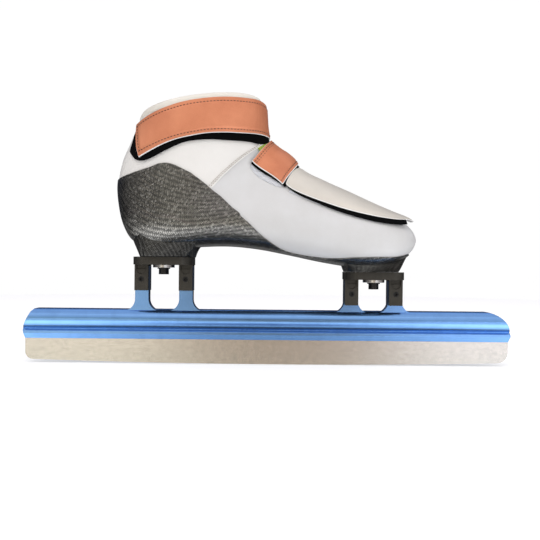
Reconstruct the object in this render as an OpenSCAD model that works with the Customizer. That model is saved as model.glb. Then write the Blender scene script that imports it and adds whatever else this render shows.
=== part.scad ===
// Short-track speed skate: a padded leather and carbon boot on two adjustable
// brackets, a tube with four posts, and a long blade.
// Frame: +X towards the toe, +Z up, the blade lies in the plane y = 0.
// The origin is the middle of the ice edge. The wearer's outer side is -Y.

/* [Blade] */
// Length of the blade
blade_length = 444.5; // [400:0.5:460]
// Thickness of the blade where it shows
blade_thickness = 1.25; // [1.0:0.05:1.6]
// Height from the ice edge to the lip of the tube
blade_height = 22.6; // [18:0.1:28]
// Radius of the rocker along the ice edge
rocker_radius = 8000; // [6000:500:12000]
// Radius of the front lower corner
toe_corner_radius = 10; // [6:0.5:12]
// Radius of the rear lower corner
heel_corner_radius = 7; // [4:0.5:10]

/* [Tube] */
// Height of the groove line above the ice edge
groove_height = 31.4; // [30:0.1:33]
// Height of the top of the tube above the ice edge
tube_top = 50.4; // [49:0.1:53]
// Diameter of the round part of the tube
tube_diameter = 19.6; // [18:0.1:20.4]
// Diameter of the hollow core
core_diameter = 12; // [8:0.5:13]
// Width of the grooves' waist
groove_width = 9; // [8:0.5:11]
// Width of the lip under the groove
lip_width = 12; // [10:0.5:14]
// Radius of the rounded nose
nose_radius = 25; // [20:1:30]

/* [Brackets] */
// Distance between the two mounting bolts
bolt_spacing = 191.5; // [180:0.5:200]
// Position of the heel bolt along the blade
heel_bolt_x = -94.3; // [-105:0.1:-90]
// Length of a bracket along the blade
bracket_length = 53.2; // [50:0.1:60]
// Height of a bracket
bracket_height = 30.5; // [28:0.5:34]
// Thickness of a bracket's top plate
plate_thickness = 7; // [5:0.5:8]
// Reach of the top plate to each side
plate_reach = 22; // [18:0.5:24]
// Width of each leg along the blade
leg_width = 12.3; // [11:0.1:16]
// Distance between the centres of the two legs
leg_spacing = 40.3; // [38:0.1:41]
// Outside distance over a leg's two cheeks
leg_depth = 17; // [15:0.5:19]
// Thickness of the posts across the blade
post_thickness = 10; // [8:0.5:11]
// Height of the heel bracket's top face
heel_plate_top = 97.9; // [96:0.1:100]
// Height of the toe bracket's top face
toe_plate_top = 86; // [84:0.1:88]
// Travel of the brackets in their slots to each side
slot_travel = 5; // [3:0.5:6]

/* [Fasteners] */
// Diameter of the mounting bolts
bolt_diameter = 6; // [5:1:6]
// Diameter of the washers
washer_diameter = 19.6; // [14:0.1:20]
// Diameter of the set screws
set_screw_diameter = 5; // [4:1:6]
// Height of the set screws above the leg's lower end
set_screw_height = 10.3; // [8:0.1:12]

/* [Boot] */
// Offset of the boot's middle plane from the blade
boot_offset = -6; // [-8:0.5:0]
// Thickness of the leather upper
upper_thickness = 2; // [1.5:0.1:2.4]
// Thickness of the carbon shell
shell_thickness = 1.2; // [1:0.1:1.8]
// Thickness of the straps
strap_thickness = 1.8; // [1.2:0.1:2]
// Width of the laces
lace_width = 5; // [4:0.5:7]

/* [Hidden] */
$fn = 48;
toe_bolt_x = heel_bolt_x + bolt_spacing;
bolt_y = boot_offset;
tube_axis_z = tube_top - tube_diameter / 2;
slot_end_gap = 0.3;
bolt_clearance = 0.35;
screw_clearance = 0.04;

// ---- The boot's form ----------------------------------------------------------
// Each station is a flat closed section across the boot. The stations start level
// at the collar, turn about the instep round the heel, and end upright at the toe:
// [front x, front z, back x, back z, half width, shift to the inner side,
//  where it is widest from front to back, roundness of the front, of the back]
STATIONS = [
  [ -6, 241, -113, 228, 36.5, 0, 0.50, 2.3, 2.2],
  [ -5, 228, -119, 214, 37.5, 0, 0.50, 2.3, 2.2],
  [ -4, 215, -125, 199, 38, 0, 0.50, 2.3, 2.2],
  [ -2, 206, -131.5, 184, 38, 0, 0.50, 2.2, 2.2],
  [ 2, 199, -135.5, 163, 37.5, 0, 0.50, 2.1, 2.2],
  [ 6, 195, -134, 143, 36.5, 0, 0.52, 2.0, 2.2],
  [ 10, 191.5, -129.5, 126, 36, 0, 0.55, 1.9, 2.3],
  [ 14, 188.5, -121, 113, 36, 0, 0.58, 1.9, 2.4],
  [ 18.5, 185, -105, 106.5, 36.5, 0, 0.60, 1.9, 2.5],
  [ 23.5, 180.6, -82, 106.5, 38, 0, 0.61, 1.9, 2.6],
  [ 29.5, 175.9, -58, 108.5, 40, 0, 0.61, 1.9, 2.6],
  [ 37.5, 171, -33, 109, 42, 0, 0.61, 1.9, 2.7],
  [ 47, 166.7, -7, 106.5, 44.5, 0, 0.61, 1.9, 2.8],
  [ 58, 161.5, 20, 101.5, 47, 0, 0.60, 1.95, 2.8],
  [ 71, 156, 47, 96, 48.5, 1, 0.60, 2.0, 2.8],
  [ 85, 149.5, 72, 92, 48.5, 2, 0.59, 2.1, 2.8],
  [ 99, 143, 93, 91, 46, 3, 0.58, 2.2, 2.7],
  [112, 137, 110, 93, 41, 4.5, 0.57, 2.2, 2.6],
  [123, 131.5, 122, 97.5, 33, 6, 0.55, 2.2, 2.4],
  [131, 125, 130.5, 104, 22, 7.5, 0.52, 2.2, 2.3],
  [135.5, 118, 135.5, 111.5, 8, 8, 0.50, 2.1, 2.1],
  [136.3, 115.2, 136.3, 114.4, 1.2, 8, 0.50, 2.0, 2.0]];
// Rise of the collar's rim at the sides, and the stations that it fades over
rim_rise = 5;
rim_fade = 2.4;

// Smooth value of a list of rows at a fractional index, straight past its start
function along(rows, v) =
  let (last = len(rows) - 1, i = min(max(floor(v), 0), last - 1), t = v - i,
       b = rows[i], c = rows[i + 1],
       a = i > 0 ? rows[i - 1] : 2 * b - c,
       d = i < last - 1 ? rows[i + 2] : 2 * c - b)
  t < 0 ? b + t * (c - b)
        : b + t / 2 * (c - a + t * (2 * a - 5 * b + 4 * c - d + t * (3 * (b - c) + d - a)));

function signed_pow(x, p) = sign(x) * pow(abs(x), p);

// Point of the boot's outer surface at station u and angle a: 0 is the ridge over
// the foot, 90 the outer side, 180 the back or the sole, 270 the inner side
function form(u, a) =
  let (s = along(STATIONS, u), f = cos(a) >= 0,
       n = f ? s[7] : s[8], m = s[6],
       c = pow(abs(cos(a)), 2 / n),
       k = f ? m * (1 - c) : m + (1 - m) * c,
       b = signed_pow(sin(a), 2 / n),
       rise = rim_rise * pow(max(0, min(1, 1 - u / rim_fade)), 2) * pow(abs(b), 1.5))
  [s[0] + (s[2] - s[0]) * k, boot_offset + s[5] - s[4] * b, s[1] + (s[3] - s[1]) * k + rise];

// Unit normal of the form, pointing out
function form_normal(u, a) =
  let (du = form(u + 0.05, a) - form(u - 0.05, a), da = form(u, a + 2) - form(u, a - 2),
       n = cross(da, du))
  n / norm(n);

// Point at a distance t outside the form
function skin(ua, t) = form(ua[0], ua[1]) + t * form_normal(ua[0], ua[1]);

// Solid between two grids of points with rows x cols points each
module grid_solid(outer, inner) {
  rows = len(outer);
  cols = len(outer[0]);
  n = rows * cols;
  function id(i, j) = i * cols + j;
  points = concat([for (r = outer) for (p = r) p], [for (r = inner) for (p = r) p]);
  skins = [for (i = [0 : rows - 2]) for (j = [0 : cols - 2])
    each [[id(i, j), id(i, j + 1), id(i + 1, j + 1)], [id(i, j), id(i + 1, j + 1), id(i + 1, j)],
          [n + id(i, j), n + id(i + 1, j + 1), n + id(i, j + 1)],
          [n + id(i, j), n + id(i + 1, j), n + id(i + 1, j + 1)]]];
  ends = [for (j = [0 : cols - 2])
    each [[id(0, j), n + id(0, j), n + id(0, j + 1)], [id(0, j), n + id(0, j + 1), id(0, j + 1)],
          [id(rows - 1, j), id(rows - 1, j + 1), n + id(rows - 1, j + 1)],
          [id(rows - 1, j), n + id(rows - 1, j + 1), n + id(rows - 1, j)]]];
  sides = [for (i = [0 : rows - 2])
    each [[id(i, 0), id(i + 1, 0), n + id(i + 1, 0)], [id(i, 0), n + id(i + 1, 0), n + id(i, 0)],
          [id(i, cols - 1), n + id(i + 1, cols - 1), id(i + 1, cols - 1)],
          [id(i, cols - 1), n + id(i, cols - 1), n + id(i + 1, cols - 1)]]];
  polyhedron(points, concat(skins, ends, sides), convexity = 8);
}

// Spot at fraction t along a rib of two or three [station, angle] spots
function on_rib(r, t) =
  let (mid = len(r) == 3 ? r[1] : (r[0] + r[1]) / 2, end = r[len(r) - 1])
  r[0] * (1 - t) * (1 - 2 * t) + mid * 4 * t * (1 - t) + end * t * (2 * t - 1);

// Panel of the boot. Each rib is a curve of two or three [station, angle] spots, the
// ribs are joined by smooth lines, and the panel fills from t_in to t_out off the
// form. Beyond the station lift_from it curls away from the form
module panel(ribs, rows, cols, t_in, t_out, lift_from = 99, lift = 0) {
  last = len(ribs) - 1;
  even = [for (r = ribs) [r[0], on_rib(r, 0.5), r[len(r) - 1]]];
  spots = [for (i = [0 : rows]) let (r = along(even, last * i / rows))
    [for (j = [0 : cols]) on_rib(r, j / cols)]];
  function curl(p) = lift * pow(max(0, p[0] - lift_from), 2);
  grid_solid([for (r = spots) [for (p = r) skin(p, t_out + curl(p))]],
    [for (r = spots) [for (p = r) skin(p, t_in + curl(p))]]);
}

// ---- Panels, as [station, angle] -----------------------------------------------
// Upper edge of the carbon shell: [station, angle on the outer side]
SHELL_EDGE = [[4.2, 98.5], [5, 89], [6, 81], [7, 77], [8, 77.5], [9, 82],
  [10, 90.5], [11, 105], [12, 130], [13, 157], [14, 152], [15, 131], [16, 123.5],
  [17, 126.5], [18, 134], [18.4, 143], [18.55, 153]];
SHELL_RIBS = concat([[[3.79, 113], [4.2, 180], [3.79, 247]]],
  [for (e = SHELL_EDGE) [e, [e[0], 360 - e[1]]]]);
// Front edge of the quarter, from the throat down the seam: [station, angle]
QUARTER_EDGE = [[0.4, 13], [1, 13], [2, 13], [3, 15], [4.1, 33], [5.5, 55], [6.8, 75], [8.1, 95]];
QUARTER_RIBS = [for (e = QUARTER_EDGE) [e, [e[0], 360 - e[1]]]];
// Station where the vamp meets the toe cap
toe_seam = 18.1;
// The vamp's ribs on the outer side: [end at the throat, end at the lasted edge]
VAMP_HALF = [[[3.1, 15], [8.2, 95]], [[4.3, 14], [8.5, 130]], [[5.8, 14], [9, 160]],
  [[7.5, 14], [10, 166]], [[9.3, 14], [11.3, 166]], [[11, 13], [12.8, 166]],
  [[12.3, 12], [14.3, 166]], [[13.3, 11], [16, 166]], [[14, 9], [17.5, 162]],
  [[14.3, 7], [toe_seam, 140]], [[14.5, 5], [toe_seam, 95]], [[14.6, 2.5], [toe_seam, 48]]];
VAMP_RIBS = concat(VAMP_HALF, [[[14.65, 0], [toe_seam, 0]]],
  [for (i = [len(VAMP_HALF) - 1 : -1 : 0]) [for (e = VAMP_HALF[i]) [e[0], -e[1]]]]);
TOE_CAP_RIBS = [for (u = [toe_seam + 0.06, 18.8, 19.5, 20.2, 20.93]) [[u, 179.5], [u, -179.5]]];
// Lace cover: [station, angle of the outer edge, angle of the stitched inner edge]
COVER_EDGE = [[11.7, 54.3, -32], [12.8, 57.4, -29], [13.9, 58.5, -26], [14.9, 57.5, -24],
  [16, 54, -22], [17, 47, -20], [17.8, 36.5, -17], [18.3, 25, -12], [18.65, 10, -5]];
COVER_RIBS = concat([[[10.42, 48], [9.5, 8], [9.75, -33]], [[10.9, 51], [10.2, 9], [10.45, -33]]],
  [for (e = COVER_EDGE) [[e[0], e[1]], [e[0], e[2]]]]);
COVER_HOOK_RIBS = [[[10.7, 42], [10.7, 50.5]], [[11.7, 46], [11.7, 56.8]],
  [[12.9, 48], [12.9, 61.6]], [[13.9, 50], [13.9, 64]], [[14.9, 50], [14.9, 64.7]],
  [[16, 48], [16, 63.2]], [[17.1, 42], [17.1, 57.5]], [[17.7, 38], [17.7, 52]]];
COVER_LOOP_RIBS = [[[11, 45], [11, 55]], [[13, 48], [13, 61]], [[15, 50], [15, 63]],
  [[16.6, 45], [16.6, 57]]];
cover_lift_from = 15.2;
cover_lift = 0.35;
// Instep strap: [rear edge, front edge] from the free end over the ridge
INSTEP_RIBS = [[[5.74, 45.5], [8.28, 43], [10.22, 49.5]], [[4.6, 36], [7.5, 33.5], [9.85, 37]],
  [[3.95, 22], [6.8, 21.5], [9.5, 23]], [[3.6, 10], [9.2, 10]], [[3.55, 0], [9.05, 0]],
  [[3.55, -10], [9.05, -11]]];
INSTEP_ANCHOR_RIBS = [[[3.75, -20.5], [9.2, -21]], [[4, -32], [9.4, -34]],
  [[4.8, -48], [10, -52]], [[5.6, -62], [10.6, -68]]];
INSTEP_HOOK_RIBS = [[[6, 47.5], [8.5, 45.8], [10.5, 52.2]], [[5.8, 38], [8, 36.5], [10.3, 40]],
  [[5.6, 28], [7.8, 27.5], [10, 30]]];
INSTEP_LOOP_RIBS = [[[6.3, 49], [8.3, 50], [10.25, 55.5]], [[6.1, 44], [8.3, 45], [10.3, 50]],
  [[6, 32], [10.2, 34]]];
// Ankle strap: [upper edge, lower edge] from the front of the ankle to the free end
ANKLE_RIBS = [[[0.5, -8], [3, -8]], [[0.5, 10], [3, 11]], [[0.45, 30], [2.8, 30]],
  [[0.47, 50], [2.65, 50]], [[0.45, 68], [2.48, 68]], [[0.45, 84], [2.42, 82]],
  [[0.48, 95], [2.5, 93]], [[0.56, 107], [2.6, 101]], [[0.72, 122], [2.77, 109]],
  [[0.92, 136], [2.99, 118]], [[1.2, 150.5], [3.22, 129]]];
ANKLE_ANCHOR_RIBS = [[[0.45, -13], [3, -13]], [[0.45, -34], [2.85, -32]],
  [[0.4, -60], [2.6, -56]], [[0.4, -90], [2.5, -86]], [[0.45, -120], [2.7, -114]],
  [[0.6, -148], [2.9, -142]]];
ANKLE_HOOK_RIBS = [[[0.55, 60], [3.2, 60]], [[0.55, 78], [2.95, 77]], [[0.6, 92], [2.86, 90]],
  [[0.7, 106], [2.98, 98]], [[0.85, 120], [3.2, 107]], [[1, 134], [3.4, 117]],
  [[1.2, 144], [3.44, 125]], [[1.5, 149], [3.28, 134]], [[1.8, 150.5], [2.8, 145]]];
ANKLE_LOOP_RIBS = [[[0.8, 66], [2.8, 64]], [[0.8, 90], [2.7, 88]], [[0.9, 118], [2.9, 108]],
  [[1.1, 140], [3.1, 126]]];

// ---- Blade unit ----------------------------------------------------------------

// Height of the rocker's arc above the origin at a distance x from the middle
function rocker(x) = rocker_radius - sqrt(rocker_radius * rocker_radius - x * x);

// Side outline of the blade with its rocker and rounded lower corners
module blade_outline(top) {
  half = blade_length / 2;
  tail = -half + heel_corner_radius;
  nose = half - toe_corner_radius;
  steps = 24;
  function corner(x, r, a) = [x + r * cos(a), rocker(x) + r + r * sin(a)];
  polygon(concat([[half, top], [-half, top]],
    [for (i = [0 : 8]) corner(tail, heel_corner_radius, 180 + 90 * i / 8)],
    [for (i = [1 : steps - 1]) let (x = tail + (nose - tail) * i / steps) [x, rocker(x)]],
    [for (i = [0 : 8]) corner(nose, toe_corner_radius, 270 + 90 * i / 8)]));
}

module blade() {
  tang_thickness = blade_thickness - 0.25;
  tang_top = groove_height + 1.5;
  tang_inset = 12;
  color("silver") {
    rotate([90, 0, 0])
      linear_extrude(blade_thickness, center = true) blade_outline(blade_height);
    translate([-blade_length / 2 + tang_inset, -tang_thickness / 2, blade_height])
      cube([blade_length - 2 * tang_inset, tang_thickness, tang_top - blade_height]);
  }
}

// Side outline of the tube: slanted tail, long rounded nose
module tube_outline() {
  tail_x = -213;
  nose_x = 223;
  nose_centre = [nose_x - nose_radius, tube_top - nose_radius];
  difference() {
    polygon([[-221.5, blade_height], [-223, groove_height], [tail_x - 2, tube_top - 3],
      [tail_x, tube_top - 0.8], [tail_x + 3, tube_top], [nose_x, tube_top],
      [nose_x, groove_height - 3], [nose_x - 1.5, blade_height]]);
    translate(nose_centre)
      difference() {
        square(nose_radius + 5);
        circle(r = nose_radius, $fn = 96);
      }
  }
}

// Cross-section of the tube, with y across and z up
module tube_section() {
  slot_width = blade_thickness - 0.19;
  lip_bottom_width = 6.4;
  difference() {
    union() {
      translate([0, tube_axis_z]) circle(d = tube_diameter, $fn = 72);
      translate([-groove_width / 2, blade_height + 5])
        square([groove_width, tube_axis_z - blade_height - 5]);
      polygon([[-lip_bottom_width / 2, blade_height], [lip_bottom_width / 2, blade_height],
        [lip_width / 2, blade_height + 4.6], [lip_width / 2, blade_height + 7],
        [groove_width / 2, groove_height + 0.2], [-groove_width / 2, groove_height + 0.2],
        [-lip_width / 2, blade_height + 7], [-lip_width / 2, blade_height + 4.6]]);
    }
    translate([-slot_width / 2, blade_height - 1])
      square([slot_width, groove_height + 1.7 - blade_height + 1]);
  }
}

// Outline of one post with its curved foot, centred on x = 0
module post_outline(top) {
  foot_z = tube_top - 2;
  foot_radius = 11;
  half = leg_width / 2;
  translate([-half, foot_z - 2]) square([leg_width, top - foot_z + 2]);
  for (side = [-1, 1])
    difference() {
      translate([side > 0 ? half - 1 : -half - foot_radius, foot_z - 2])
        square([foot_radius + 1, foot_radius + 2]);
      translate([side * (half + foot_radius), foot_z + foot_radius]) circle(r = foot_radius);
    }
}

module posts(bolt_x, top) {
  for (side = [-1, 1])
    translate([bolt_x + side * leg_spacing / 2, post_thickness / 2, 0])
      rotate([90, 0, 0]) linear_extrude(post_thickness) post_outline(top);
}

module tube_core() {
  translate([-240, 0, tube_axis_z]) rotate([0, 90, 0]) cylinder(d = core_diameter, h = 480);
}

module tube_envelope() {
  rotate([90, 0, 0]) linear_extrude(40, center = true) tube_outline();
}

module blade_tube() {
  post_gap = 1.2;
  color([0.16, 0.3, 0.75])
    difference() {
      union() {
        intersection() {
          translate([-240, 0, 0]) rotate([90, 0, 90]) linear_extrude(480) tube_section();
          tube_envelope();
        }
        posts(heel_bolt_x, heel_plate_top - plate_thickness - post_gap);
        posts(toe_bolt_x, toe_plate_top - plate_thickness - post_gap);
      }
      tube_core();
    }
}

// Plug that closes one end of the tube's core
module tube_plug(x0, x1) {
  color([0.12, 0.22, 0.6])
    intersection() {
      translate([x0, 0, tube_axis_z])
        rotate([0, 90, 0]) cylinder(d = core_diameter - 0.02, h = x1 - x0);
      tube_envelope();
    }
}

module tube_plug_rear() { tube_plug(-240, -200); }

module tube_plug_front() { tube_plug(190, 240); }

// ---- Brackets ------------------------------------------------------------------

// Plate outline seen from above, rounded at both sides
module plate_outline() {
  corner = 11;
  half = bracket_length / 2;
  hull()
    for (x = [-half + corner, half - corner], y = [-plate_reach + corner, plate_reach - corner])
      translate([x, y]) circle(r = corner);
}

// Slot in the plate that the mounting bolt passes through
module plate_slot() {
  reach = slot_travel + slot_end_gap;
  for (y = [-reach, reach])
    translate([0, bolt_y + y, -1]) cylinder(d = bolt_diameter + 2 * bolt_clearance, h = 20);
  translate([-bolt_diameter / 2 - bolt_clearance, bolt_y - reach, -1])
    cube([bolt_diameter + 2 * bolt_clearance, 2 * reach, 20]);
}

// One leg that straddles a post, with a block for the set screw and a round pocket
module leg(height) {
  block_height = 15;
  pocket_depth = 2;
  pocket_radius = leg_width / 2 - 1.6;
  difference() {
    translate([-leg_width / 2, -leg_depth / 2, 0]) cube([leg_width, leg_depth, height]);
    translate([-leg_width / 2 - 1, -post_thickness / 2 - 0.1, -1])
      cube([leg_width + 2, post_thickness + 0.2, height + 1]);
    for (side = [-1, 1]) {
      translate([0, side * (leg_depth / 2 + 1), block_height + pocket_radius])
        rotate([90, 0, 0]) cylinder(r = pocket_radius, h = 2 * (pocket_depth + 1) - 2, center = true);
      translate([-pocket_radius, side > 0 ? leg_depth / 2 - pocket_depth : -leg_depth / 2 - 1,
          block_height + pocket_radius])
        cube([2 * pocket_radius, pocket_depth + 1, height]);
    }
    translate([0, 0, set_screw_height]) rotate([90, 0, 0])
      cylinder(d = set_screw_diameter, h = leg_depth);
  }
}

// Bracket with its top face at z = plate_top, centred on its bolt
module bracket(bolt_x, plate_top) {
  leg_height = bracket_height - plate_thickness;
  color([0.13, 0.12, 0.12])
    translate([bolt_x, 0, plate_top - bracket_height]) {
      difference() {
        translate([0, 0, leg_height]) linear_extrude(plate_thickness) plate_outline();
        translate([0, 0, leg_height]) plate_slot();
      }
      for (side = [-1, 1])
        translate([side * leg_spacing / 2, 0, 0]) leg(leg_height);
    }
}

module heel_bracket() { bracket(heel_bolt_x, heel_plate_top - 0.1); }

module toe_bracket() { bracket(toe_bolt_x, toe_plate_top - 0.1); }

// Set screw with a hexagon socket, seated against the post
module set_screw() {
  length = leg_depth / 2 - post_thickness / 2;
  socket = 2.5;
  translate([0, -post_thickness / 2, 0]) rotate([90, 0, 0])
    difference() {
      cylinder(d = set_screw_diameter - 2 * screw_clearance, h = length);
      translate([0, 0, length - 2]) cylinder(d = socket / cos(30), h = 3, $fn = 6);
    }
}

module post_set_screws() {
  color([0.2, 0.2, 0.21])
    for (b = [[heel_bolt_x, heel_plate_top], [toe_bolt_x, toe_plate_top]], side = [-1, 1])
      translate([b[0] + side * leg_spacing / 2, 0,
          b[1] - 0.1 - bracket_height + set_screw_height]) set_screw();
}

// ---- Mounting bolts, washers and inserts ---------------------------------------

washer_thickness = 2.4;
under_plate = 0.15;
insert_depth = 6.8;
insert_diameter = 10;
thread_engagement = 6.5;

// Hexagon bolt with a flange, its washer's top at the plate's underside
module mounting_bolt(bolt_x, plate_top) {
  head_height = 5;
  head_width = 8;
  flange_height = 1.2;
  flange_diameter = 11.5;
  socket = 4;
  socket_depth = 3;
  z0 = plate_top - 0.1 - plate_thickness - under_plate - washer_thickness;
  color([0.12, 0.12, 0.13])
    translate([bolt_x, bolt_y, z0]) {
      translate([0, 0, -flange_height]) cylinder(d = flange_diameter, h = flange_height);
      difference() {
        translate([0, 0, -flange_height - head_height])
          cylinder(d = head_width / cos(30), h = head_height, $fn = 6);
        translate([0, 0, -flange_height - head_height - 1])
          cylinder(d = socket / cos(30), h = socket_depth + 1, $fn = 6);
      }
      cylinder(d = bolt_diameter - 0.06,
        h = plate_thickness + washer_thickness + thread_engagement);
    }
}

module heel_bolt() { mounting_bolt(heel_bolt_x, heel_plate_top); }

module toe_bolt() { mounting_bolt(toe_bolt_x, toe_plate_top); }

module washer(bolt_x, plate_top) {
  color("gainsboro")
    translate([bolt_x, bolt_y, plate_top - 0.1 - plate_thickness - under_plate - washer_thickness])
      difference() {
        cylinder(d = washer_diameter, h = washer_thickness);
        translate([0, 0, -1]) cylinder(d = bolt_diameter + 0.6, h = 4);
      }
}

module heel_washer() { washer(heel_bolt_x, heel_plate_top); }

module toe_washer() { washer(toe_bolt_x, toe_plate_top); }

// Threaded insert bonded into a block from below
module insert(bolt_x, plate_top) {
  color("lightgrey")
    translate([bolt_x, bolt_y, plate_top])
      difference() {
        cylinder(d = insert_diameter, h = insert_depth);
        translate([0, 0, -1]) cylinder(d = bolt_diameter, h = insert_depth + 2);
      }
}

module heel_insert() { insert(heel_bolt_x, heel_plate_top + 0.3); }

module toe_insert() { insert(toe_bolt_x, toe_plate_top + 0.3); }

// ---- Boot: shell, blocks and lining --------------------------------------------

// Block moulded under the sole. Its top follows the shell over the given stations
// and its flat foot is the outline's rectangle at the bracket's top face
module sole_block(u0, u1, spread, foot_x0, foot_x1, foot_half, bolt_x, plate_top) {
  rows = 8;
  cols = 10;
  color([0.15, 0.15, 0.15])
    difference() {
      grid_solid(
        [for (i = [0 : rows]) [for (j = [0 : cols])
          let (s = 2 * j / cols - 1, x = foot_x0 + (foot_x1 - foot_x0) * i / rows,
               end = 1 - 0.28 * pow(abs(2 * i / rows - 1), 4))
          [x, boot_offset + foot_half * s * end, plate_top]]],
        [for (i = [0 : rows]) [for (j = [0 : cols])
          let (s = 2 * j / cols - 1)
          skin([u0 + (u1 - u0) * i / rows, 180 + spread * s], shell_thickness + 0.5)]]);
      translate([bolt_x, bolt_y, plate_top - 1]) cylinder(d = insert_diameter + 0.02, h = 12);
    }
}

module heel_block() {
  sole_block(7, 9.6, 38, -114.5, -66.3, 22, heel_bolt_x, heel_plate_top);
}

module toe_block() {
  sole_block(14.9, 18.3, 26, 70.7, 117.5, 22, toe_bolt_x, toe_plate_top);
}

module carbon_shell() {
  color([0.22, 0.22, 0.22]) panel(SHELL_RIBS, 48, 22, 0.15, 0.15 + shell_thickness);
}

module quarter() {
  color([0.92, 0.92, 0.93]) panel(QUARTER_RIBS, 18, 28, -upper_thickness, 0);
}

module vamp() {
  color([0.9, 0.91, 0.93]) panel(VAMP_RIBS, 44, 10, -upper_thickness, 0);
}

module toe_cap() {
  color([0.9, 0.91, 0.93]) panel(TOE_CAP_RIBS, 8, 28, -upper_thickness, 0);
}

module heel_lining() {
  color([0.2, 0.2, 0.2])
    panel([for (u = [2, 4, 7, 10, 13, 15.5]) [[u, 42], [u, 318]]], 22, 26,
      -upper_thickness - 2.9, -upper_thickness - 0.6);
}

module collar_padding() {
  color([0.93, 0.91, 0.86])
    panel([[[0.1, 42], [0.1, 318]], [[1.9, 42], [1.9, 318]]], 4, 26,
      -upper_thickness - 6.5, -upper_thickness - 0.4);
}

module insole() {
  color([0.3, 0.3, 0.3])
    panel([for (e = [[7.6, 40], [9, 52], [11, 54], [13, 54], [15, 56], [17, 54], [18.6, 44]])
      [[e[0], 180 - e[1]], [e[0], 180 + e[1]]]], 20, 10, -8.2, -5.4);
}

module tongue() {
  color([0.85, 0.85, 0.85])
    panel([for (u = [0.3, 2, 4, 7, 10, 13, 15]) [[u, 37], [u, -37]]], 20, 8,
      -upper_thickness - 4, -upper_thickness - 0.6);
}

// ---- Lacing --------------------------------------------------------------------

// Stations of the eyelets from the ankle to the toe, and their angle
EYELETS = [0.9, 2.3, 3.9, 7.2, 9.5, 11, 12.2, 13.3];
eyelet_angle = 19;

// Row of eyelets on one side, each set square to the leather
module eyelets(side) {
  flange = 7.4;
  barrel = 4.8;
  hole = 3.8;
  color("silver")
    for (u = EYELETS) {
      p = skin([u, side * eyelet_angle], 0);
      n = form_normal(u, side * eyelet_angle);
      translate(p) rotate([0, acos(n[2]), atan2(n[1], n[0])])
        difference() {
          union() {
            translate([0, 0, 0.05]) cylinder(d = flange, h = 0.5, $fn = 32);
            translate([0, 0, -upper_thickness]) cylinder(d = barrel, h = upper_thickness + 0.2, $fn = 32);
          }
          translate([0, 0, -5]) cylinder(d = hole, h = 10, $fn = 32);
        }
    }
}

module eyelets_lateral() { eyelets(1); }

module eyelets_medial() { eyelets(-1); }

// Flat lace from one spot to another over the form, dipping by dip at its middle
module lace_run(a, b, dip) {
  steps = 6;
  half = lace_width / 2;
  thick = 0.9;
  mid = [for (i = [0 : steps]) let (t = i / steps)
    [a + (b - a) * t, 1.3 - dip * pow(sin(180 * t), 2)]];
  dir = form(b[0], b[1]) - form(a[0], a[1]);
  grid_solid(
    [for (m = mid) let (n = form_normal(m[0][0], m[0][1]), w = cross(n, dir / norm(dir)),
      p = skin(m[0], m[1])) [for (s = [-1, 1]) p + w * half * s + n * thick / 2]],
    [for (m = mid) let (n = form_normal(m[0][0], m[0][1]), w = cross(n, dir / norm(dir)),
      p = skin(m[0], m[1])) [for (s = [-1, 1]) p + w * half * s - n * thick / 2]]);
}

module laces() {
  last = len(EYELETS) - 1;
  color([0.85, 0.9, 0.2]) {
    for (i = [0 : last - 1], side = [-1, 1])
      lace_run([EYELETS[i], side * eyelet_angle], [EYELETS[i + 1], -side * eyelet_angle],
        side > 0 ? 0.1 : 1.8);
    lace_run([EYELETS[last] + 0.1, eyelet_angle], [EYELETS[last] + 0.1, -eyelet_angle], 0.4);
  }
}

// ---- Cover and straps ----------------------------------------------------------

// Distance of the straps' underside from the form, and of the tapes' two faces
strap_in = 2.3;
hook_in = 1.3;
loop_in = 0.1;
loop_out = 0.8;
cover_in = 2.6;
cover_thickness = 1.4;

module lace_cover() {
  color([0.88, 0.86, 0.82])
    panel(COVER_RIBS, 30, 12, cover_in, cover_in + cover_thickness, cover_lift_from, cover_lift);
}

module cover_hook_strip() {
  color([0.1, 0.1, 0.1])
    panel(COVER_HOOK_RIBS, 22, 3, hook_in, strap_in, cover_lift_from, cover_lift);
}

module cover_loop_strip() {
  color([0.9, 0.9, 0.9]) panel(COVER_LOOP_RIBS, 18, 3, loop_in, loop_out);
}

module instep_strap() {
  color([0.84, 0.53, 0.4]) panel(INSTEP_RIBS, 14, 8, strap_in, strap_in + strap_thickness);
}

module instep_strap_anchor() {
  color([0.84, 0.53, 0.4])
    panel(INSTEP_ANCHOR_RIBS, 10, 8, strap_in, strap_in + strap_thickness);
}

module instep_hook_patch() {
  color([0.1, 0.1, 0.1]) panel(INSTEP_HOOK_RIBS, 6, 6, hook_in, strap_in - 0.1);
}

module instep_loop_patch() {
  color([0.9, 0.9, 0.9]) panel(INSTEP_LOOP_RIBS, 6, 6, loop_in, loop_out);
}

module ankle_strap() {
  color([0.84, 0.53, 0.4]) panel(ANKLE_RIBS, 30, 6, strap_in, strap_in + strap_thickness);
}

module ankle_strap_anchor() {
  color([0.84, 0.53, 0.4])
    panel(ANKLE_ANCHOR_RIBS, 20, 6, strap_in, strap_in + strap_thickness);
}

module ankle_hook_patch() {
  color([0.1, 0.1, 0.1]) panel(ANKLE_HOOK_RIBS, 20, 5, hook_in, strap_in - 0.1);
}

module ankle_loop_patch() {
  color([0.12, 0.12, 0.12]) panel(ANKLE_LOOP_RIBS, 12, 4, loop_in, loop_out);
}

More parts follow.
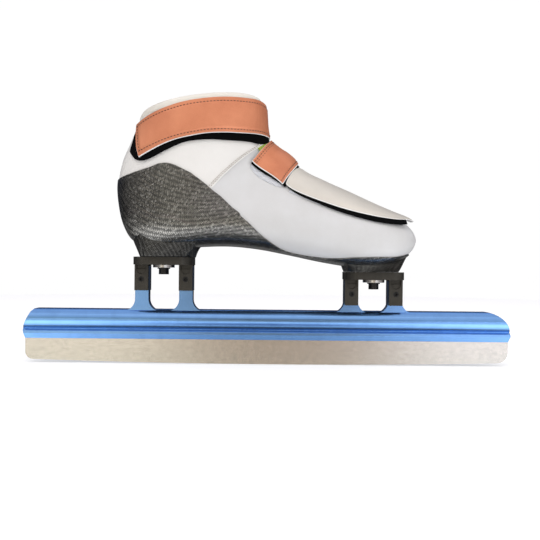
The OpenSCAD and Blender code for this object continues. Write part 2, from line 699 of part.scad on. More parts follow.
blade();
blade_tube();
tube_plug_rear();
tube_plug_front();
heel_bracket();
toe_bracket();
post_set_screws();
heel_bolt();
toe_bolt();
heel_washer();
toe_washer();
heel_insert();
toe_insert();
heel_block();
toe_block();
carbon_shell();
quarter();
vamp();
toe_cap();
heel_lining();
collar_padding();
insole();
tongue();
eyelets_lateral();
eyelets_medial();
laces();
lace_cover();
cover_hook_strip();
cover_loop_strip();
instep_strap();
instep_strap_anchor();
instep_hook_patch();
instep_loop_patch();
ankle_strap();
ankle_strap_anchor();
ankle_hook_patch();
ankle_loop_patch();
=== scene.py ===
"""Looks of a short-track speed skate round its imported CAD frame.

The boot is rebuilt from sections and panels like the CAD's, with finer meshes. The blade,
tube, brackets and screws are the CAD's own solids with new materials.
"""
import math

import bmesh
import bpy
import numpy as np
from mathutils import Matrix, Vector


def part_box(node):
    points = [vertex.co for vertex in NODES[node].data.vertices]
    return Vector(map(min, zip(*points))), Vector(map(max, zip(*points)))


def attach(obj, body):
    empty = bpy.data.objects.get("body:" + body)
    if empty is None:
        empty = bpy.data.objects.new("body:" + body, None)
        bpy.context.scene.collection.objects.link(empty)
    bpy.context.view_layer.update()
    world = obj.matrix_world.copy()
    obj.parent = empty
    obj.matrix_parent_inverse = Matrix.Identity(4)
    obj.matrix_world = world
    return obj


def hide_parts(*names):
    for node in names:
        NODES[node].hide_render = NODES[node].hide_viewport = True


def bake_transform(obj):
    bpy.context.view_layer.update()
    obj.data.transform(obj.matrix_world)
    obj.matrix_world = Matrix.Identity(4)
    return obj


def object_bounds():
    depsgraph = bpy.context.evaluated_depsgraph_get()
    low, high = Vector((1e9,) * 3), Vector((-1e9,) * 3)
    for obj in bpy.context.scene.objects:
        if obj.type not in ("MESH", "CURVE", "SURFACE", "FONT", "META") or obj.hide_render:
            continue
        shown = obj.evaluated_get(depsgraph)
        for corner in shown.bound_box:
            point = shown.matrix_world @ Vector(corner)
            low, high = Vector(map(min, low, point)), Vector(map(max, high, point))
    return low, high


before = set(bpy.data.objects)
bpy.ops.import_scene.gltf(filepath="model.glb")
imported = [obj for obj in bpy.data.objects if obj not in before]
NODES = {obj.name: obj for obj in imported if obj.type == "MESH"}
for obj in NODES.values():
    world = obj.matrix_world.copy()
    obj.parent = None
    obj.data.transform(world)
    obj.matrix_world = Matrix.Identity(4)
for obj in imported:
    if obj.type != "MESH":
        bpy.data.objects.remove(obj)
cad_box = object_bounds()
MM = 0.001

# ---- Materials ----


class Shade:
    """Nodes of a material or the world. Inputs are numbers, colours or sockets."""

    def __init__(self, name, kind="materials", surface="Principled BSDF"):
        self.material = getattr(bpy.data, kind).new(name)
        self.material.use_nodes = True
        self.nodes = self.material.node_tree.nodes
        self.links = self.material.node_tree.links
        self.surface = self.nodes[surface]

    def feed(self, socket, value):
        if isinstance(value, bpy.types.NodeSocket):
            self.links.new(value, socket)
        elif isinstance(value, (tuple, list)) and len(socket.default_value) == 4:
            socket.default_value = tuple(value) + (1,) * (4 - len(value))
        else:
            socket.default_value = value

    def node(self, kind, out=0, settings=None, **inputs):
        """Output of a new node. Input i3 is number 3, and the others go by name."""
        n = self.nodes.new("ShaderNode" + kind)
        for key, value in (settings or {}).items():
            setattr(n, key, value)
        for key, value in inputs.items():
            place = int(key[1:]) if key[1:].isdigit() else key.replace("_", " ")
            self.feed(n.inputs[place], value)
        return n.outputs[out]

    def math(self, operation, a, b=0.0):
        return self.node("Math", settings={"operation": operation}, i0=a, i1=b)

    def place(self, scale=(1, 1, 1)):
        return self.node("Mapping", i0=self.node("TexCoord", out="Object"), Scale=scale)

    def noise(self, vector, scale, detail=3.0, rough=0.5):
        return self.node("TexNoise", Vector=vector, Scale=scale, Detail=detail, Roughness=rough)

    def threads(self, vector, scale, direction):
        return self.node("TexWave", settings={"bands_direction": direction}, Vector=vector,
                         Scale=scale, Distortion=1.5, Detail=2.0)

    def span(self, value, lo, hi, start=0.0, end=1.0):
        return self.node("MapRange", i0=value, i1=start, i2=end, i3=lo, i4=hi)

    def blend(self, factor, a, b, mode="MIX"):
        return self.node("Mix", out=2, settings={"data_type": "RGBA", "blend_type": mode},
                         i0=factor, i6=a, i7=b)

    def ramp(self, value, stops):
        """Colour ramp over a value, from (position, colour or grey) stops."""
        n = self.nodes.new("ShaderNodeValToRGB")
        points = n.color_ramp.elements
        while len(points) < len(stops):
            points.new(0.5)
        for point, (place, colour) in zip(points, stops):
            point.position = place
            point.color = (*colour, 1) if isinstance(colour, tuple) else (colour,) * 3 + (1,)
        self.links.new(value, n.inputs[0])
        return n.outputs[0]

    def split(self, vector):
        n = self.nodes.new("ShaderNodeSeparateXYZ")
        self.links.new(vector, n.inputs[0])
        return n.outputs

    def bump(self, height, distance, under=None):
        extra = {"Normal": under} if under is not None else {}
        return self.node("Bump", Height=height, Distance=distance, Strength=1.0, **extra)

    def finish(self, **inputs):
        for key, value in inputs.items():
            self.feed(self.surface.inputs[key.replace("_", " ")], value)
        return self.material


def leather(name, colour, shade, grain, depth, rough, metal=0.0):
    """Coated leather: pebble grain, pores, and a slow drift of colour and gloss."""
    s = Shade(name)
    here = s.place()
    wobble = s.noise(here, 260, 2.0)
    drift = s.noise(here, 28, 4.0, 0.6)
    shift = s.node("VectorMath", settings={"operation": "SCALE"}, i0=wobble, Scale=0.0012)
    there = s.node("VectorMath", settings={"operation": "ADD"}, i0=here, i1=shift)
    pebble = s.node("TexVoronoi", Vector=there, Scale=grain)
    pores = s.noise(here, grain * 2.6, 2.0)
    base = s.blend(s.span(drift, 0, 1, 0.35, 0.7), colour, shade)
    base = s.blend(s.span(pebble, 0.0, 0.22, 0.0, 0.9), base, tuple(c * 1.08 for c in colour))
    height = s.math("ADD", s.math("MULTIPLY", pebble, -0.8), s.math("MULTIPLY", pores, 0.35))
    return s.finish(Base_Color=base, Roughness=s.span(drift, rough[0], rough[1], 0.3, 0.75),
                    Metallic=metal, Normal=s.bump(height, depth))


def cloth(name, colour, dark, scale=900.0, depth=0.0002, rough=0.9, sheen=0.3, shine=0.3):
    """Woven or brushed textile with crossed threads and fuzz."""
    s = Shade(name)
    here = s.place()
    one, two = s.threads(here, scale, "X"), s.threads(here, scale, "Z")
    fuzz = s.noise(here, scale * 2, 3.0, 0.7)
    weave = s.math("ADD", s.math("MULTIPLY", one, two), s.math("MULTIPLY", fuzz, 0.6))
    return s.finish(Base_Color=s.blend(s.span(weave, 0, 1, 0.2, 1.2), dark, colour),
                    Roughness=rough, Sheen_Weight=sheen, Specular_IOR_Level=shine,
                    Normal=s.bump(weave, depth))


TOW = 0.0014
TOW_TURN = math.radians(24)
RESIN = (0.012, 0.0115, 0.010)


def carbon(name, bright, coat):
    """Clear-coated 2 x 2 twill. Its tows cross the UVs, in metres, at TOW_TURN. The base colour
    paints the tows' sheen: painted highlights on the tows that lie one way and on each tow's
    crown, and painted glints on random tows.
    """
    s = Shade(name)
    uv = s.node("TexCoord", out="UV")
    turned = s.node("Mapping", i0=uv, Rotation=(0, 0, TOW_TURN), Scale=(1 / TOW, 1 / TOW, 1))
    x, y = s.split(turned)[:2]
    column, row = s.math("FLOOR", x), s.math("FLOOR", y)
    phase = s.math("FLOORED_MODULO", s.math("ADD", column, row), 4.0)
    over = s.math("LESS_THAN", phase, 1.5)

    def tow_crown(value):
        across = s.math("ABSOLUTE", s.math("SUBTRACT", s.math("FRACT", value), 0.5))
        return s.math("SUBTRACT", 1.0, s.math("POWER", s.math("MULTIPLY", across, 2.0), 2.4))

    top = s.node("Mix", i0=over, i2=tow_crown(y), i3=tow_crown(x))
    cell = s.node("CombineXYZ", i0=column, i1=row)
    glint = s.node("TexWhiteNoise", Vector=cell)
    strands_x = s.noise(s.node("Mapping", i0=turned, Scale=(9, 0.5, 1)), 3.0, 2.0)
    strands_y = s.noise(s.node("Mapping", i0=turned, Scale=(0.5, 9, 1)), 3.0, 2.0)
    strands = s.node("Mix", i0=over, i2=strands_y, i3=strands_x)
    height = s.math("ADD", top, s.math("MULTIPLY", strands, 0.5))
    # Painted sheen: tows lying one way are painted lighter than the others, each lighter on its
    # crown
    tone = s.math("MULTIPLY", s.node("Mix", i0=over, i2=0.3, i3=0.85), top)
    # Painted glints: a few random tows are painted much lighter
    tone = s.math("ADD", s.math("MULTIPLY", tone, s.span(strands, 0.5, 1.2, 0.3, 0.75)),
                  s.math("MULTIPLY", s.math("POWER", glint, 5.0), 0.8))
    base = s.blend(tone, RESIN, (bright, 0.97 * bright, 0.90 * bright))
    return s.finish(Base_Color=base, Roughness=s.span(top, 0.42, 0.24), Metallic=1.0,
                    Coat_Weight=coat, Coat_Roughness=0.08, Normal=s.bump(height, 0.00015))


EDGE_RADIUS = 0.0003


def metal(name, colour, shade, rough, along, depth, metallic=1.0, mottle=0.0):
    """Machined or anodised metal with fine lines along one direction, softened edges and
    random darker blotches as strong as mottle."""
    s = Shade(name)
    lines = s.noise(s.place(along), 26.0, 4.0, 0.65)
    spots = s.noise(s.place(), 90, 4.0, 0.6)
    base = s.blend(s.span(lines, 0, 1, 0.3, 0.7), colour, shade)
    base = s.blend(s.span(spots, 0, 0.35, 0.45, 0.75), base, tuple(c * 0.8 for c in colour))
    blotch = s.noise(s.place((1, 1, 1.5)), 190, 9.0, 0.72)
    base = s.blend(s.span(blotch, 0, mottle, 0.42, 0.66), base, tuple(c * 0.6 for c in colour))
    round_edge = s.node("Bevel", settings={"samples": 4}, Radius=EDGE_RADIUS)
    return s.finish(Base_Color=base, Roughness=s.span(lines, rough[0], rough[1], 0.25, 0.75),
                    Metallic=metallic, Normal=s.bump(lines, depth, round_edge))


# ---- Camera, floor and light ----

CAMERA_DISTANCE = 0.600
CAMERA_HEIGHT = 0.0869
CAMERA_X = 0.0026
CAMERA_LENS = 43.37
CAMERA_ROLL = math.radians(0.55)


def make_camera():
    data = bpy.data.cameras.new("camera")
    data.lens = CAMERA_LENS
    data.sensor_width = 36
    data.clip_start = 0.01
    cam = bpy.data.objects.new("camera", data)
    cam.location = (CAMERA_X, -CAMERA_DISTANCE, CAMERA_HEIGHT)
    cam.rotation_euler = (math.pi / 2, -CAMERA_ROLL, 0)
    bpy.context.collection.objects.link(cam)
    bpy.context.scene.camera = cam


def area_light(name, place, target, size, power):
    """Soft white panel that neither the camera nor a reflection sees."""
    data = bpy.data.lights.new(name, "AREA")
    data.shape = "RECTANGLE"
    data.size, data.size_y = size
    data.energy = power
    light = bpy.data.objects.new(name, data)
    light.location = place
    way = Vector(target) - light.location
    light.rotation_euler = way.to_track_quat("-Z", "Y").to_euler()
    bpy.context.collection.objects.link(light)
    light.visible_camera = False
    light.visible_glossy = False


def ring_faces(rings, sides, start=0, ends="open"):
    """Faces between rings of vertices. The ends are open, capped or joined to each other."""
    faces = []
    for i in range(rings if ends == "joined" else rings - 1):
        a = start + i * sides
        b = start + (i + 1) % rings * sides
        for k in range(sides):
            m = (k + 1) % sides
            faces.append((a + k, a + m, b + m, b + k))
    if ends == "capped":
        final = start + (rings - 1) * sides
        faces.append(tuple(start + k for k in range(sides))[::-1])
        faces.append(tuple(final + k for k in range(sides)))
    return faces


def turned_mesh(name, profile, steps=96):
    """Surface of revolution about Z from (radius, height) pairs."""
    verts = []
    for r, z in profile:
        for k in range(steps):
            a = 2 * math.pi * k / steps
            verts.append((r * math.cos(a), r * math.sin(a), z))
    faces = ring_faces(len(profile), steps)
    mesh = bpy.data.meshes.new(name)
    mesh.from_pydata(verts, [], faces)
    mesh.shade_smooth()
    obj = bpy.data.objects.new(name, mesh)
    bpy.context.collection.objects.link(obj)
    return obj


def white_stage_material(name, glow, tone):
    s = Shade(name)
    cloud = s.noise(s.place(), 3, 3.0)
    return s.finish(Base_Color=s.blend(cloud, (tone,) * 3, (tone + 0.02,) * 3),
                    Roughness=s.span(cloud, 0.8, 0.9), Specular_IOR_Level=0.0,
                    Emission_Color=(1, 1, 1), Emission_Strength=glow)


FLOOR_RADIUS = 1.7
FLOOR_GAP = 0.0002
COVE_RADIUS = 0.9
COVE_STEPS = 12


def make_stage():
    """A round pale floor, and a white surround that only the camera sees."""
    z = cad_box[0][2] - FLOOR_GAP
    floor = turned_mesh("floor", [(0.0, z), (0.7, z), (FLOOR_RADIUS, z)])
    floor.data.materials.append(white_stage_material("floor", 0.42, 0.78))
    floor.visible_glossy = False
    profile = [(FLOOR_RADIUS, z)]
    for i in range(1, COVE_STEPS + 1):
        a = math.pi / 2 * i / COVE_STEPS
        profile.append((FLOOR_RADIUS + COVE_RADIUS * math.sin(a),
                        z + COVE_RADIUS * (1 - math.cos(a))))
    profile += [(FLOOR_RADIUS + COVE_RADIUS, 3.4), (1.6, 4.2), (0.0, 4.4)]
    wall = turned_mesh("surround", profile)
    wall.data.materials.append(white_stage_material("surround", 0.98, 0.02))
    wall.visible_diffuse = False
    wall.visible_glossy = False
    wall.visible_transmission = False
    wall.visible_shadow = False


# Brightness of the room that reflections see, over a direction's height or sideways part,
# from -1 at 0.0 to 1 at 1.0. In front: a lit floor, narrow bright bands and a ceiling.
FRONT_ROOM = [
    (0.0, 0.1), (0.025, 0.3), (0.05, (1.4, 1.42, 1.45)), (0.15, (2.4, 2.42, 2.45)), (0.30, 2.2),
    (0.37, 1.0), (0.452, (1.05, 1.04, 1.02)), (0.46, (2.4, 1.95, 2.2)), (0.476, (2.2, 1.8, 2.0)),
    (0.488, (0.95, 0.94, 0.92)), (0.54, (0.8, 0.78, 0.76)), (0.62, 0.70),
    (0.70, (1.0, 0.96, 0.97)), (0.80, (0.95, 0.90, 0.89)), (0.845, (1.4, 1.3, 1.25)),
    (0.89, (0.95, 0.90, 0.89)), (1.0, (0.8, 0.78, 0.84))]
# Sideways, near the horizon: a dark panel in the middle, which the flat blade reflects
WALL = [
    (0.0, 0.12), (0.20, (0.25, 0.25, 0.24)), (0.30, (0.99, 1.01, 0.86)),
    (0.40, (0.98, 0.98, 0.81)), (0.455, (0.34, 0.28, 0.20)), (0.58, (0.39, 0.32, 0.235)),
    (0.61, (1.16, 1.24, 1.25)), (0.74, (1.16, 1.24, 1.27)), (0.9, 0.3)]
# Sideways, below the horizon: a dark strip in the middle of a bright table
TABLE = [
    (0.0, 0.5), (0.2, 1.2), (0.36, 1.0), (0.44, (0.10, 0.12, 0.17)), (0.55, (0.10, 0.12, 0.17)),
    (0.63, 1.0), (1.0, 1.6)]
# Behind: dark, with a dim band low down and a pale ceiling
BACK_ROOM = [
    (0.0, 0.02), (0.26, 0.03), (0.31, 0.21), (0.42, 0.21), (0.46, 0.03),
    (0.88, (0.12, 0.14, 0.2)), (0.95, (0.8, 0.84, 0.95)), (1.0, (0.8, 0.84, 0.95))]
HORIZON = 0.02


def make_world():
    s = Shade("studio", "worlds", "Background")
    bpy.context.scene.world = s.material
    x, y, z = s.split(s.node("TexCoord", out="Generated"))
    height = s.span(z, 0, 1, -1, 1)
    sideways = s.span(x, 0, 1, -1, 1)
    level = s.math("ABSOLUTE", s.math("ADD", z, HORIZON))
    near = s.span(level, 1.0, 0.0, 0.12, 0.45)
    lit = s.blend(near, s.ramp(height, FRONT_ROOM), s.ramp(sideways, WALL), "MULTIPLY")
    low = s.math("MULTIPLY", s.span(z, 1.0, 0.0, -0.6, -0.35), s.span(z, 0.0, 1.0, -0.92, -0.84))
    lit = s.blend(low, lit, s.ramp(sideways, TABLE), "MULTIPLY")
    s.finish(Color=s.blend(s.span(y, 0.0, 1.0, -0.15, 0.2), lit, s.ramp(height, BACK_ROOM)),
             Strength=1.0)


# ---- The boot's form ----

# Front x, front z, back x, back z, half width, shift inwards, widest place,
# roundness of the front and of the back, in millimetres
STATIONS = np.array([
    (-6, 241, -113, 228, 36.5, 0, 0.50, 2.3, 2.2),
    (-5, 228, -119, 214, 37.5, 0, 0.50, 2.3, 2.2),
    (-4, 215, -125, 199, 38, 0, 0.50, 2.3, 2.2),
    (-2, 206, -131.5, 184, 38, 0, 0.50, 2.2, 2.2),
    (2, 199, -135.5, 163, 37.5, 0, 0.50, 2.1, 2.2),
    (6, 195, -134, 143, 36.5, 0, 0.52, 2.0, 2.2),
    (10, 191.5, -129.5, 126, 36, 0, 0.55, 1.9, 2.3),
    (14, 188.5, -121, 113, 36, 0, 0.58, 1.9, 2.4),
    (18.5, 185, -105, 106.5, 36.5, 0, 0.60, 1.9, 2.5),
    (23.5, 180.6, -82, 106.5, 38, 0, 0.61, 1.9, 2.6),
    (29.5, 175.9, -58, 108.5, 40, 0, 0.61, 1.9, 2.6),
    (37.5, 171, -33, 109, 42, 0, 0.61, 1.9, 2.7),
    (47, 166.7, -7, 106.5, 44.5, 0, 0.61, 1.9, 2.8),
    (58, 161.5, 20, 101.5, 47, 0, 0.60, 1.95, 2.8),
    (71, 156, 47, 96, 48.5, 1, 0.60, 2.0, 2.8),
    (85, 149.5, 72, 92, 48.5, 2, 0.59, 2.1, 2.8),
    (99, 143, 93, 91, 46, 3, 0.58, 2.2, 2.7),
    (112, 137, 110, 93, 41, 4.5, 0.57, 2.2, 2.6),
    (123, 131.5, 122, 97.5, 33, 6, 0.55, 2.2, 2.4),
    (131, 125, 130.5, 104, 22, 7.5, 0.52, 2.2, 2.3),
    (135.5, 118, 135.5, 111.5, 8, 8, 0.50, 2.1, 2.1),
    (136.3, 115.2, 136.3, 114.4, 1.2, 8, 0.50, 2.0, 2.0)])
BOOT_OFFSET = -6.0
RIM_RISE = 5.0
RIM_FADE = 2.4


def along(rows, v):
    """Smooth value of rows at fractional index v, straight past the start."""
    rows = np.asarray(rows, float)
    v = np.asarray(v, float)
    last = len(rows) - 1
    i = np.clip(np.floor(v).astype(int), 0, last - 1)
    t = (v - i).reshape(v.shape + (1,) * (rows.ndim - 1))
    b, c = rows[i], rows[i + 1]
    first = (i > 0).reshape(t.shape)
    final = (i < last - 1).reshape(t.shape)
    a = np.where(first, rows[np.maximum(i - 1, 0)], 2 * b - c)
    d = np.where(final, rows[np.minimum(i + 2, last)], 2 * c - b)
    curve = b + t / 2 * (c - a + t * (2 * a - 5 * b + 4 * c - d + t * (3 * (b - c) + d - a)))
    return np.where(t < 0, b + t * (c - b), curve)


def form(u, a):
    """Point of the boot's outer surface: station u, angle a, 0 over the foot, 90 outside."""
    u, a = np.broadcast_arrays(np.asarray(u, float), np.asarray(a, float))
    s = along(STATIONS, u)
    a = np.radians(a)
    front = np.cos(a) >= 0
    n = np.where(front, s[..., 7], s[..., 8])
    m = s[..., 6]
    c = np.abs(np.cos(a)) ** (2 / n)
    k = np.where(front, m * (1 - c), m + (1 - m) * c)
    b = np.sign(np.sin(a)) * np.abs(np.sin(a)) ** (2 / n)
    rise = RIM_RISE * np.clip(1 - u / RIM_FADE, 0, 1) ** 2 * np.abs(b) ** 1.5
    return MM * np.stack([s[..., 0] + (s[..., 2] - s[..., 0]) * k,
                          BOOT_OFFSET + s[..., 5] - s[..., 4] * b,
                          s[..., 1] + (s[..., 3] - s[..., 1]) * k + rise], -1)


def form_normal(u, a):
    u, a = np.broadcast_arrays(np.asarray(u, float), np.asarray(a, float))
    du = form(u + 0.05, a) - form(u - 0.05, a)
    da = form(u, a + 2) - form(u, a - 2)
    n = np.cross(da, du)
    return n / np.maximum(np.linalg.norm(n, axis=-1, keepdims=True), 1e-12)


def skin(u, a, t):
    """Point t metres outside the form."""
    t = np.asarray(t, float)
    return form(u, a) + t[..., None] * form_normal(u, a)


def spots_at(ribs, v, s):
    """Station and angle at v along a panel's ribs and s across them, 0 to 1. A rib is two
    or three (station, angle) spots."""
    full = []
    for rib in ribs:
        rib = [np.array(p, float) for p in rib]
        full.append(rib if len(rib) == 3 else [rib[0], (rib[0] + rib[1]) / 2, rib[1]])
    v, s = np.broadcast_arrays(v, s)
    r = along(np.array(full), v)
    s = s[..., None]
    g = (r[..., 0, :] * (1 - s) * (1 - 2 * s) + r[..., 1, :] * 4 * s * (1 - s)
         + r[..., 2, :] * s * (2 * s - 1))
    return g[..., 0], g[..., 1]


def spots(ribs, rows, cols, v=None, s=None):
    """Stations and angles of a panel's grid, evenly spaced unless v or s is given."""
    v = np.linspace(0, len(ribs) - 1, rows + 1) if v is None else v
    s = np.linspace(0, 1, cols + 1) if s is None else s
    return spots_at(ribs, v[:, None], s[None])


# ---- Mesh tools ----


def new_object(name, verts, faces, material, uvs=None, body=None):
    mesh = bpy.data.meshes.new(name)
    mesh.from_pydata([tuple(p) for p in verts], [], faces)
    if uvs is not None:
        layer = mesh.uv_layers.new(name="UVMap")
        index = np.empty(len(mesh.loops), int)
        mesh.loops.foreach_get("vertex_index", index)
        layer.data.foreach_set("uv", np.asarray(uvs, float)[index].ravel())
    b = bmesh.new()
    b.from_mesh(mesh)
    bmesh.ops.recalc_face_normals(b, faces=b.faces)
    b.to_mesh(mesh)
    b.free()
    mesh.shade_smooth()
    obj = bpy.data.objects.new(name, mesh)
    bpy.context.collection.objects.link(obj)
    obj.data.materials.append(material)
    if body:
        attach(obj, body)
    return obj


def grid_faces(rows, cols, start):
    corners = [start + i * cols + j for i in range(rows - 1) for j in range(cols - 1)]
    return [(c, c + 1, c + cols + 1, c + cols) for c in corners]


def metric_uv(points):
    """UVs in metres: across each row from its middle, and down the middle column."""
    rows, cols = points.shape[:2]
    step = np.linalg.norm(np.diff(points, axis=1), axis=-1)
    x = np.concatenate([np.zeros((rows, 1)), np.cumsum(step, axis=1)], axis=1)
    x -= x[:, cols // 2][:, None]
    down = np.linalg.norm(np.diff(points[:, cols // 2], axis=0), axis=-1)
    y = np.concatenate([[0], np.cumsum(down)])
    return np.stack([x, np.repeat(y[:, None], cols, axis=1)], -1)


def border_loops(faces):
    """Rings of vertices round the open borders of a set of faces."""
    used = {}
    for f in faces:
        for i, v in enumerate(f):
            used[(v, f[(i + 1) % len(f)])] = True
    step = {v: w for v, w in used if (w, v) not in used}
    loops = []
    while step:
        start = next(iter(step))
        loop = [start]
        nxt = step.pop(start)
        while nxt != start:
            loop.append(nxt)
            nxt = step.pop(nxt)
        loops.append(loop)
    return loops


WELD = 2e-6
RIM_STEPS = 4


def solid_sheet(name, grids, material, body=None):
    """Closed sheet between facing pairs of grids, welded where the grids meet, with a
    half-round edge round every open border. Each grid is (outer, inner, uv)."""
    outer = np.concatenate([g[0].reshape(-1, 3) for g in grids])
    inner = np.concatenate([g[1].reshape(-1, 3) for g in grids])
    uv = np.concatenate([(metric_uv(g[0]) if g[2] is None else g[2]).reshape(-1, 2)
                         for g in grids])
    faces, start = [], 0
    for g in grids:
        faces += grid_faces(g[0].shape[0], g[0].shape[1], start)
        start += g[0].shape[0] * g[0].shape[1]
    _, first, same = np.unique(np.round(outer / WELD).astype(np.int64), axis=0,
                               return_index=True, return_inverse=True)
    same = same.ravel()
    outer, inner, uv = outer[first], inner[first], uv[first]
    tidy = []
    for f in faces:
        f = tuple(dict.fromkeys(int(same[v]) for v in f))
        if len(f) > 2:
            tidy.append(f)
    faces = tidy
    n = len(outer)
    mid = (outer + inner) / 2
    middle_of = {}
    for f in faces:
        for i, v in enumerate(f):
            middle_of[(v, f[(i + 1) % len(f)])] = mid[list(f)].mean(axis=0)
    verts, uvs = [outer, inner], [uv, uv]
    solid = list(faces) + [tuple(v + n for v in f[::-1]) for f in faces]
    start = 2 * n
    for loop in border_loops(faces):
        li = np.array(loop)
        count = len(li)
        edge_out = np.array([(mid[a] + mid[b]) / 2 - middle_of[(a, b)]
                             for a, b in zip(loop, loop[1:] + loop[:1])])
        out = edge_out + np.roll(edge_out, 1, axis=0)
        half = (outer - inner)[li] / 2
        size = np.linalg.norm(half, axis=1, keepdims=True)
        unit = half / np.maximum(size, 1e-9)
        out -= unit * (out * unit).sum(1, keepdims=True)
        out /= np.maximum(np.linalg.norm(out, axis=1, keepdims=True), 1e-9)
        rings = [li]
        for k in range(1, RIM_STEPS):
            a = math.pi * k / RIM_STEPS
            rings.append(np.arange(start, start + count))
            start += count
            verts.append(mid[li] + half * math.cos(a) + out * size * math.sin(a))
            uvs.append(uv[li])
        rings.append(li + n)
        for k in range(RIM_STEPS):
            a, b = rings[k], rings[k + 1]
            quads = np.stack([a, b, np.roll(b, -1), np.roll(a, -1)], 1)
            solid += [tuple(q) for q in quads.tolist()]
    return new_object(name, np.concatenate(verts), solid, material, np.concatenate(uvs), body)


def edge_distance(points, sides=("left", "right")):
    """Distance in metres of each grid point from the grid's named sides."""
    across = np.linalg.norm(np.diff(points, axis=1), axis=-1)
    down = np.linalg.norm(np.diff(points, axis=0), axis=-1)
    zero_c = np.zeros((points.shape[0], 1))
    zero_r = np.zeros((1, points.shape[1]))
    ways = {"left": np.concatenate([zero_c, np.cumsum(across, 1)], 1),
            "right": np.concatenate([np.cumsum(across[:, ::-1], 1)[:, ::-1], zero_c], 1),
            "top": np.concatenate([zero_r, np.cumsum(down, 0)], 0),
            "bottom": np.concatenate([np.cumsum(down[::-1], 0)[::-1], zero_r], 0)}
    return np.min([ways[s] for s in sides], axis=0)


def ease(x):
    x = np.clip(x, 0, 1)
    return x * x * (3 - 2 * x)


def panel(name, ribs, rows, cols, t_in, t_out, material, body=None, lift=0.0, v=None, s=None):
    """Panel of the boot between t_in and t_out millimetres off the form. The three
    heights are numbers or functions of (stations, angles, grid)."""
    u, a = spots(ribs, rows, cols, v, s)
    base = form(u, a)

    def height(t):
        return t(u, a, base) if callable(t) else t + 0 * u

    raise_by = height(lift)
    outer = skin(u, a, (height(t_out) + raise_by) * MM)
    inner = skin(u, a, (height(t_in) + raise_by) * MM)
    return solid_sheet(name, [(outer, inner, None)], material, body)


def resample(points, step):
    """Points evenly spaced along a polyline, at about step apart, and their tangents."""
    d = np.linalg.norm(np.diff(points, axis=0), axis=1)
    at = np.concatenate([[0], np.cumsum(d)])
    count = max(2, int(round(at[-1] / step)) + 1)
    want = np.linspace(0, at[-1], count)
    out = np.stack([np.interp(want, at, points[:, k]) for k in range(3)], -1)
    tangent = np.gradient(out, axis=0)
    return out, tangent / np.maximum(np.linalg.norm(tangent, axis=1, keepdims=True), 1e-9)


STRAP_THREAD = (2.9, 1.8, 0.34, 0.12)
QUARTER_THREAD = (2.4, 1.7, 0.22, 0.02)
# Place along a stitch, share of its radius, and height, for each ring of a stitch
STITCH_RINGS = [(-0.5, 0.15, -0.5), (-0.42, 0.8, -0.1), (-0.15, 1.0, 0.35), (0.15, 1.0, 0.35),
                (0.42, 0.8, -0.1), (0.5, 0.15, -0.5)]
STITCH_SIDES = 6


def stitches(name, path, normals, material, thread, body=None):
    """One mesh of separate stitches along a path lying on a surface. The thread's pitch,
    stitch length, radius and height over the surface are in millimetres."""
    pitch, length, radius, proud = thread
    at, tangent = resample(path, pitch * MM)
    scale = np.linspace(0, len(path) - 1, len(at))
    normal = np.stack([np.interp(scale, np.arange(len(path)), normals[:, k])
                       for k in range(3)], -1)
    verts, faces = [], []
    for p, t, n in zip(at, tangent, normal):
        n = n - t * (n @ t)
        n /= np.linalg.norm(n)
        b = np.cross(t, n)
        faces += ring_faces(len(STITCH_RINGS), STITCH_SIDES, len(verts), "capped")
        for x, r, h in STITCH_RINGS:
            c = p + t * x * length * MM + n * (proud + h * radius) * MM
            for k in range(STITCH_SIDES):
                a = 2 * math.pi * k / STITCH_SIDES
                verts.append(c + (b * math.cos(a) + n * math.sin(a)) * r * radius * MM)
    return new_object(name, verts, faces, material, None, body)


def line_on(ribs, v, s, t, lift=None):
    """Points and normals of the line that runs through (v, s) of a panel, t mm off the form."""
    u, a = spots_at(ribs, v, s)
    off = t + (lift(u, a, None) if lift else 0 * u)
    return skin(u, a, off * MM), form_normal(u, a)


def mirrored(ribs):
    return ribs + [[(p[0], -p[1]) for p in r] for r in ribs[::-1]]


# ---- Panel tables of (station, angle) spots ----

# They are close to the CAD's. The shell's rim, the instep strap's pieces, the hook tapes
# and the vamp's end under the quarter differ from it, to look more like the real ones

UPPER = 2.0
SHELL_IN = 0.15
SHELL_OUT = 1.05
TOE_SEAM = 18.1
SHELL_RIBS = [[(3.79, 111), (4.07, 180), (3.79, 249)]] + [[(u, a), (u, 360 - a)] for u, a in [
    (3.86, 105.5), (4.05, 100.5), (4.45, 94.5), (5, 88.7), (6, 80.3), (7, 76.3), (8, 76.3),
    (9, 81.5), (10, 90), (11, 103), (12, 128), (13, 160), (14, 152), (15, 131), (16, 123.5),
    (17, 126.5), (18, 134), (18.4, 143), (18.55, 153)]]
QUARTER_RIBS = [[(u, a), (u, 360 - a)] for u, a in [
    (0.58, 13), (1, 13), (2, 12.5), (3, 14), (3.95, 27.5), (4.5, 40.5), (5.09, 52),
    (5.79, 63), (6.9, 79), (8.1, 95)]]
